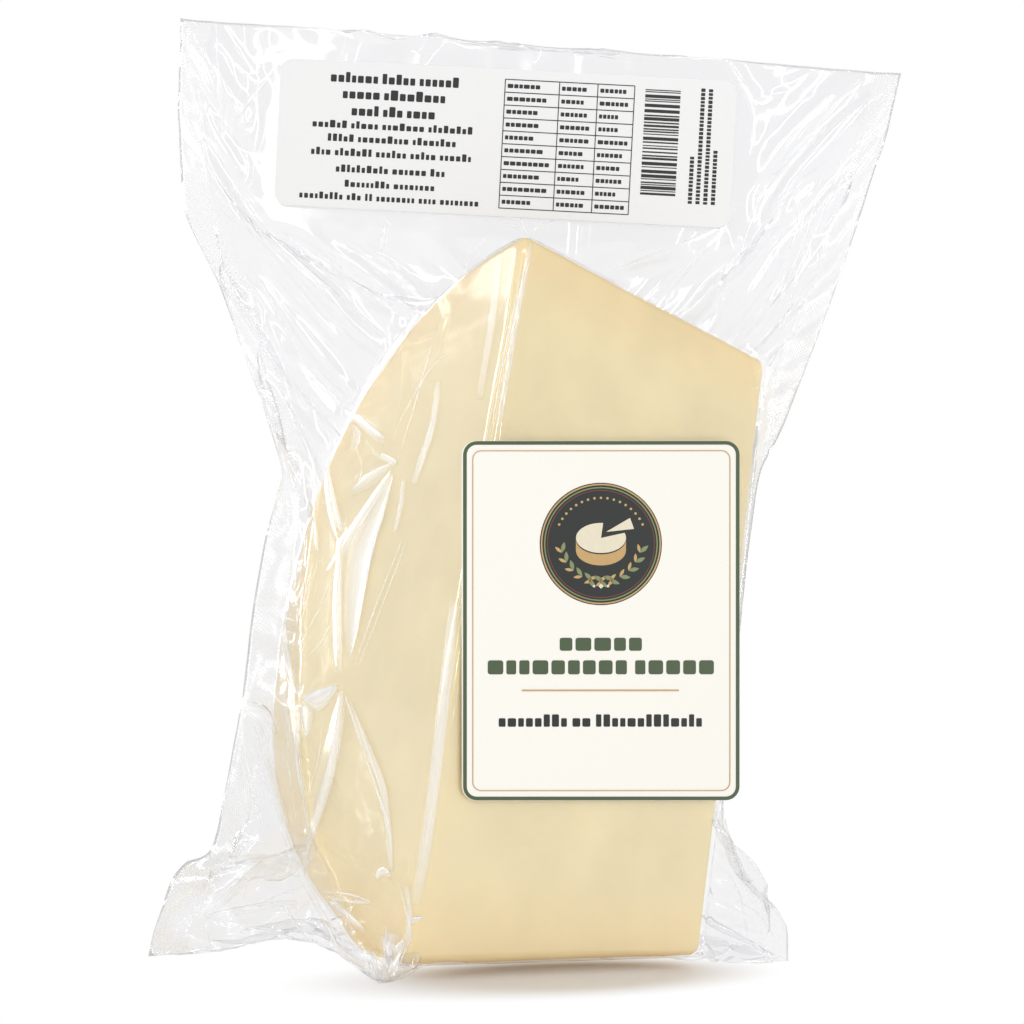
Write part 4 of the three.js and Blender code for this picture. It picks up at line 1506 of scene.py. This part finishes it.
def coated_card(colour):
    """Coated card, calendered: an even ivory sheet with a faint sheen and a hair of fibre"""
    return uneven_sheet("coated_card_calendered", colour, 1400.0, 3.0, (0.975, 1.01), 0.5, 1.5, 0.06)


def label_paper(colour):
    """Thermal label paper, top-coated: white, matt and a little grey beside the card"""
    return uneven_sheet("thermal_paper_top_coated", colour, 900.0, 4.0, (0.97, 1.0), 0.6, 1.45, 0.08)


def printing_ink(name, colour, roughness=0.5, metallic=0.0):
    """Offset ink on paper: a thin even film that lets a little of the sheet's unevenness through"""
    return uneven_sheet(name, colour, 700.0, 3.0, (0.92, 1.06), roughness, 1.5, metallic=metallic)


# The front card's print, in units of its grid
BORDER_WIDTH = 4.0
CORNER_RADIUS = 14.0
HAIRLINE_INSET = 9.5
HAIRLINE_WIDTH = 1.0
HAIRLINE_RADIUS = 9.0
EMBLEM = np.array((138.0, 103.0))
EMBLEM_RADIUS = 61.0
BORDER_BLEED = 0.4

# The card's inks: the layer that each is printed in, how rough it is and how metallic
CARD_INKS = {
    "green": (1, 0.5, 0.0), "black": (1, 0.5, 0.0), "dark": (1, 0.5, 0.0), "gold": (2, 0.4, 0.2),
    "leaf": (2, 0.5, 0.0), "red": (2, 0.5, 0.0), "cream": (3, 0.5, 0.0),
}

# Lines of blocks in place of the title and the words: ink, ends, middle, height, blocks of each word and gap
CARD_LINES = (
    ("green", 97, 179, 203, 13, (5,), 3.2),
    ("green", 25, 251, 226, 14, (9, 5), 3.2),
    ("black", 36, 239, 281, 8.5, (8, 2, 13), 2.2),
)
RULE_UNDER_TITLE = (59, 248.2, 216, 249.8)


def leaf(x, y, length, width, turn, steps=7):
    """A pointed leaf from its stalk end"""
    share = np.linspace(0, 1, steps)
    bulge = np.sin(np.pi * share) * width / 2
    lower = np.stack((share * length, -bulge), 1)[-2:0:-1]
    shape = np.concatenate((np.stack((share * length, bulge), 1), lower))
    spin = np.array(((math.cos(turn), math.sin(turn)), (-math.sin(turn), math.cos(turn))))
    return shape @ spin + (x, y)


def draw_emblem(inks):
    """A round badge of the maker's own: a cut wheel between two plain sprigs, in a ring of dots"""
    x, y = EMBLEM
    inks["dark"].patch(disc(x, y, EMBLEM_RADIUS, 96))
    for ink, outer, inner in (("gold", 60.0, 58.6), ("leaf", 56.8, 55.6), ("red", 53.8, 53.1)):
        inks[ink].band(disc(x, y, outer, 96), disc(x, y, inner, 96))
    for spot in EMBLEM + 46 * circle(np.radians(np.linspace(205, 335, 17))):
        inks["gold"].patch(disc(*spot, 1.3, 10))
    # The wheel lies open, with a wedge drawn out of it.
    oval = np.array((25, 15))
    wheel = (x, y - 6) + oval * circle(np.radians(np.linspace(-20, 275, 40)))
    inks["cream"].patch(np.vstack(((x, y - 6), wheel)))
    side = (x, y - 4.6) + oval * circle(np.radians(np.linspace(0, 180, 24)))
    inks["gold"].patch(np.concatenate((side, side[::-1] + (0, 11))))
    inks["cream"].patch(EMBLEM + np.array(((5, -12), (29, -26), (33, -15))))
    for spot in EMBLEM + np.array(((-12, -8), (-3, 1), (9, 0), (-14, 1))):
        inks["gold"].patch(disc(*spot, 1.5, 10))
    for hand in (-1, 1):
        for turn in np.radians(18 + 15 * np.arange(7)):
            stalk = x + hand * 41 * math.cos(turn), y + 41 * math.sin(turn) - 4
            grow = math.atan2(-math.cos(turn), hand * math.sin(turn))
            inks["leaf"].patch(leaf(*stalk, 11, 4.2, grow + 0.55))
            inks["gold"].patch(leaf(*stalk, 9, 3.2, grow - 0.55))
    for k, size in ((-1, 1.6), (0, 2.6), (1, 1.6)):
        inks["cream"].patch(disc(x + 7 * k, y + 42, size, 4))


def make_front_label(context):
    colours = sizes(context)[2]
    place = card_place()

    def inset(edge, radius):
        return rounded_rectangle(edge, edge, CARD_GRID[0] - edge, CARD_GRID[1] - edge, radius)

    card = make_plate("front_card", place, inset(0, CORNER_RADIUS), CARD_THICKNESS,
                      coated_card(colours.card))
    hand_in(card, "front_label")
    inks = {name: Print(place, CARD_THICKNESS + layer * INK_RISE)
            for name, (layer, _, _) in CARD_INKS.items()}
    inks["green"].band(inset(BORDER_BLEED, CORNER_RADIUS - BORDER_BLEED),
                       inset(BORDER_WIDTH, CORNER_RADIUS - BORDER_WIDTH))
    inks["gold"].band(inset(HAIRLINE_INSET, HAIRLINE_RADIUS),
                      inset(HAIRLINE_INSET + HAIRLINE_WIDTH, HAIRLINE_RADIUS - HAIRLINE_WIDTH))
    draw_emblem(inks)
    draw = np.random.default_rng(11)
    for ink, *line in CARD_LINES:
        inks[ink].words(draw, *line, ascenders=ink == "black")
    inks["gold"].bar(*RULE_UNDER_TITLE)
    for name, (_, roughness, metallic) in CARD_INKS.items():
        finish = printing_ink("offset_ink_" + name, getattr(colours, name), roughness, metallic)
        hand_in(inks[name].make("card_print_" + name, finish), "front_label")
    return card


# The data label's print, in millimetres right of and below its top left corner

# Centred lines of small print: middle, height, half the length and the blocks of each word
SMALL_PRINT = (
    (5.6, 2.2, 20, (7, 5, 6)), (10.6, 2.2, 16, (5, 8)), (15.8, 2.2, 13, (4, 3, 4)),
    (20.2, 1.6, 25, (6, 5, 7, 8)), (24.4, 1.6, 20, (5, 9, 8)), (28.8, 1.6, 25, (4, 7, 6, 5, 6)),
    (33.9, 1.6, 17, (10, 6, 3)), (38.5, 1.5, 14, (9, 8)), (42.6, 1.5, 28, (9, 3, 2, 8, 4, 8)),
)
SMALL_PRINT_MIDDLE = 36

# A ruled table: where its upright rules stand, its top and bottom, its rows and the width of a rule
TABLE_STOPS = (70.5, 87.5, 99.5, 111.0)
TABLE_TOP, TABLE_BOTTOM = 3.2, 43.4
TABLE_ROWS = 10
RULE = 0.28
CELL_MARGIN = 0.8

# Stripes across the label, in plain seeded widths and gaps
STRIPES_LEFT, STRIPES_RIGHT = 114.4, 125.4
STRIPES_TOP, STRIPES_BOTTOM = 4.0, 37.4
STRIPE_WIDTHS = (0.3, 0.45, 0.7, 1.0)
STRIPE_GAPS = (0.3, 0.45, 0.7)

# Columns of small print that run up the label beside the stripes: place and length
SIDE_COLUMNS = ((129.4, 14), (131.8, 36), (134.2, 36), (136.6, 16))
SIDE_COLUMNS_FOOT = 39.0


def make_back_label(context):
    colours = sizes(context)[2]
    place = back_label_place()
    outline = rounded_rectangle(0, 0, BACK_LABEL.width, BACK_LABEL.height, 4.0)
    paper = make_plate("data_label", place, outline, BACK_LABEL.thickness, label_paper(colours.paper))
    hand_in(paper, "back_label")
    ink = Print(place, BACK_LABEL.thickness + INK_RISE)
    draw = np.random.default_rng(23)
    for middle, height, half, counts in SMALL_PRINT:
        ink.words(draw, SMALL_PRINT_MIDDLE - half, SMALL_PRINT_MIDDLE + half, middle, height, counts, 0.55,
                  ascenders=True)
    levels = np.linspace(TABLE_TOP, TABLE_BOTTOM, TABLE_ROWS + 1)
    for y in levels:
        ink.bar(TABLE_STOPS[0], y - RULE / 2, TABLE_STOPS[-1], y + RULE / 2)
    for x in TABLE_STOPS:
        ink.bar(x - RULE / 2, TABLE_TOP, x + RULE / 2, TABLE_BOTTOM)
    for y in (levels[1:] + levels[:-1]) / 2:
        for start, stop in zip(TABLE_STOPS[:-1], TABLE_STOPS[1:]):
            span = (stop - start - 2 * CELL_MARGIN) * draw.uniform(*LETTER_WIDTHS)
            left = start + CELL_MARGIN
            ink.words(draw, left, left + span, y, 1.25, (int(3 + span / 2.6),), 0.3)
    y = STRIPES_TOP
    while y < STRIPES_BOTTOM - 0.4:
        thick = draw.choice(STRIPE_WIDTHS)
        ink.bar(STRIPES_LEFT, y, STRIPES_RIGHT, min(y + thick, STRIPES_BOTTOM))
        y += thick + draw.choice(STRIPE_GAPS)
    for x, length in SIDE_COLUMNS:
        y = SIDE_COLUMNS_FOOT
        while y > SIDE_COLUMNS_FOOT - length:
            tall = draw.uniform(0.7, 1.1)
            ink.bar(x, y - tall, x + 1.3, y, 0.15)
            y -= tall + 0.32
    finish = printing_ink("thermal_print_black", colours.black, 0.6)
    hand_in(ink.make("data_label_print", finish), "back_label")
    return paper


# The stage

# Each lamp by its bearing and height seen from the pack in degrees, its size in metres, its brightness, and
# whether it lights only by its glint on glossy things
Softbox = namedtuple("Softbox", "bearing rise width height brightness glint")
SOFTBOXES = {
    "left_softbox": Softbox(196, 12, 0.12, 0.8, 2.8, False),
    "left_side_glint": Softbox(178, 14, 0.2, 0.8, 7.0, True),
    "left_back_glint": Softbox(136, 10, 0.22, 0.8, 8.0, True),
    "left_high_glint": Softbox(156, 30, 0.5, 0.2, 5.5, True),
    "left_front_glint": Softbox(222, 18, 0.014, 0.8, 30.0, True),
    "front_left_strip": Softbox(-109, 14, 0.05, 0.7, 9.0, False),
    "front_right_strip": Softbox(-70, 14, 0.05, 0.7, 26.0, False),
    "right_front_glint": Softbox(-36, 14, 0.014, 0.8, 30.0, True),
    "right_back_glint": Softbox(16, 12, 0.05, 0.8, 9.0, True),
    "overhead_strip": Softbox(-92, 34, 0.9, 0.03, 12.0, True),
    "back_softbox": Softbox(62, 30, 0.6, 0.6, 1.6, False),
    "behind_glint": Softbox(100, 16, 0.05, 0.8, 14.0, True),
    "behind_high_glint": Softbox(122, 48, 0.9, 0.04, 12.0, True),
}
LAMP_DISTANCE = 1.25
AIM = Vector((0.0, 0.0, 0.14))

# The board keeps its real shade in an oval along the foot of the cut face. Beyond about one and a half times
# the oval it is covered by a painted white glow, so the shadow shows only inside the oval.
SHADE_MIDDLE = (0.044, -0.036, 0.0)
SHADE_HALF = (0.058, 0.012)


def white_table(stage):
    """Sprayed white board: matt, with a painted white glow away from the pack that hides its shade there"""
    material, tree, send = new_material("board_sprayed_white_with_painted_glow")
    place = add_node(tree, "TexCoord").outputs["Object"]
    tooth = add_node(tree, "TexNoise", {"Scale": 400.0, "Detail": 3.0, "Vector": place})
    bump = add_node(tree, "Bump", {"Strength": 0.04, "Distance": 0.0002, "Height": tooth})
    # The board's colour is painted shade: darkened and warmed to give the contact shadow its brown tone.
    board = add_node(tree, "BsdfDiffuse", {"Color": opaque(stage.floor), "Normal": bump})
    # Painted glow: plain white emission stands in for light that burns the board out away from the pack.
    painted_glow = add_node(tree, "Emission", {"Color": WHITE, "Strength": 1.0})
    # The oval is the mask of the painted glow: only inside it does the board show shade.
    offset = add_node(tree, "VectorMath", {0: place, 1: SHADE_MIDDLE}, operation="SUBTRACT")
    turned = add_node(tree, "VectorRotate", {"Angle": -CHEESE_TURN, "Vector": offset},
                      rotation_type="Z_AXIS")
    oval = add_node(tree, "VectorMath", {0: turned, 1: (1 / SHADE_HALF[0], 1 / SHADE_HALF[1], 0.0)},
                    operation="MULTIPLY")
    distance = add_node(tree, "VectorMath", {0: oval}, operation="LENGTH")
    fade = add_node(tree, "MapRange", {"From Min": 0.6, "From Max": 1.45,
                                       "Value": distance.outputs["Value"]}, interpolation_type="SMOOTHSTEP")
    shader = add_node(tree, "MixShader", {"Fac": fade, 1: board, 2: painted_glow})
    send(shader)
    return material


def make_stage(context):
    stage = sizes(context)[3]
    scene = context.scene
    scene.view_settings.view_transform = "Standard"
    # A look along a crumpled bag passes through many plies.
    scene.cycles.transparent_max_bounces = 48
    reach = stage.reach / MM
    corners = reach * np.array(((-1, -1, 0), (1, -1, 0), (1, 1, 0), (-1, 1, 0))) - STAND
    floor = make_object("table", corners, [(0, 1, 2, 3)], [white_table(stage)], smooth=False)

    world = bpy.data.worlds.new("white_studio")
    scene.world = world
    world.use_nodes = True
    tree = world.node_tree
    tree.nodes.clear()
    walls = add_node(tree, "Background", {"Color": WHITE, "Strength": stage.room})
    backdrop = add_node(tree, "Background", {"Color": WHITE, "Strength": 1.0})
    path = add_node(tree, "LightPath")
    either = add_node(tree, "MixShader", {"Fac": path.outputs["Is Camera Ray"], 1: walls, 2: backdrop})
    add_node(tree, "OutputWorld", {"Surface": either})

    for name, box in SOFTBOXES.items():
        lamp = bpy.data.lights.new(name, "AREA")
        lamp.shape = "RECTANGLE"
        lamp.size, lamp.size_y = box.width, box.height
        lamp.energy = box.brightness * math.pi * box.width * box.height
        bearing, rise = math.radians(box.bearing), math.radians(box.rise)
        way = Vector((*circle(bearing) * math.cos(rise), math.sin(rise)))
        stand = bpy.data.objects.new(name, lamp)
        stand.location = AIM + way * LAMP_DISTANCE
        stand.rotation_euler = (-way).to_track_quat("-Z", "Y").to_euler()
        stand.visible_diffuse = not box.glint
        scene.collection.objects.link(stand)

    lens = bpy.data.cameras.new("camera")
    lens.sensor_width = SENSOR_WIDTH
    lens.lens = CAMERA_FOCUS * SENSOR_WIDTH / PHOTO_SIZE
    lens.clip_start = 0.01
    camera = bpy.data.objects.new("camera", lens)
    right, up, forward = camera_axes()
    turn = Matrix([(right[k], up[k], -forward[k]) for k in range(3)]).to_4x4()
    camera.matrix_world = Matrix.Translation(Vector((CAMERA_PLACE + STAND) * MM)) @ turn
    scene.collection.objects.link(camera)
    scene.camera = camera


class MakeCheese(bpy.types.Operator):
    """Make the half wheel of cheese"""
    bl_idname = "provolone.make_cheese"
    bl_label = "Cheese"

    def execute(self, context):
        make_cheese(context)
        return {"FINISHED"}


class MakeBag(bpy.types.Operator):
    """Shrink the clear bag onto the cheese"""
    bl_idname = "provolone.make_bag"
    bl_label = "Bag"

    def execute(self, context):
        make_bag(context)
        return {"FINISHED"}


class MakeFolds(bpy.types.Operator):
    """Press sharp folds into the film"""
    bl_idname = "provolone.make_folds"
    bl_label = "Folds"

    def execute(self, context):
        make_folds(context)
        return {"FINISHED"}


class MakeFrontLabel(bpy.types.Operator):
    """Print the card on the cut face"""
    bl_idname = "provolone.make_front_label"
    bl_label = "Front label"

    def execute(self, context):
        make_front_label(context)
        return {"FINISHED"}


class MakeBackLabel(bpy.types.Operator):
    """Print the paper label on the flap"""
    bl_idname = "provolone.make_back_label"
    bl_label = "Back label"

    def execute(self, context):
        make_back_label(context)
        return {"FINISHED"}


class MakeStage(bpy.types.Operator):
    """Set the table, the lights and the camera"""
    bl_idname = "provolone.make_stage"
    bl_label = "Stage"

    def execute(self, context):
        make_stage(context)
        return {"FINISHED"}


STEPS = (MakeCheese, MakeBag, MakeFolds, MakeFrontLabel, MakeBackLabel, MakeStage)


class ProvolonePanel(bpy.types.Panel):
    """The steps that make the wrapped cheese, and their settings"""
    bl_idname = "VIEW3D_PT_provolone"
    bl_label = "Wrapped Provolone"
    bl_space_type = "VIEW_3D"
    bl_region_type = "UI"
    bl_category = "Provolone"

    def draw(self, context):
        for step in STEPS:
            self.layout.operator(step.bl_idname)
        for group in sizes(context):
            box = self.layout.box()
            for name in group.bl_rna.properties.keys():
                if name not in ("rna_type", "name"):
                    box.prop(group, name)


GROUPS = {
    "provolone_cheese": CheeseSizes,
    "provolone_bag": BagSizes,
    "provolone_labels": LabelColours,
    "provolone_stage": StageSettings,
}


def register():
    for group in GROUPS.values():
        bpy.utils.register_class(group)
    for name, group in GROUPS.items():
        setattr(bpy.types.Scene, name, PointerProperty(type=group))
    for step in STEPS:
        bpy.utils.register_class(step)
    bpy.utils.register_class(ProvolonePanel)


def unregister():
    bpy.utils.unregister_class(ProvolonePanel)
    for step in reversed(STEPS):
        bpy.utils.unregister_class(step)
    for name in GROUPS:
        delattr(bpy.types.Scene, name)
    for group in reversed(GROUPS.values()):
        bpy.utils.unregister_class(group)


def main():
    register()
    for step in STEPS:
        group, name = step.bl_idname.split(".")
        getattr(getattr(bpy.ops, group), name)()


if __name__ == "__main__":
    main()
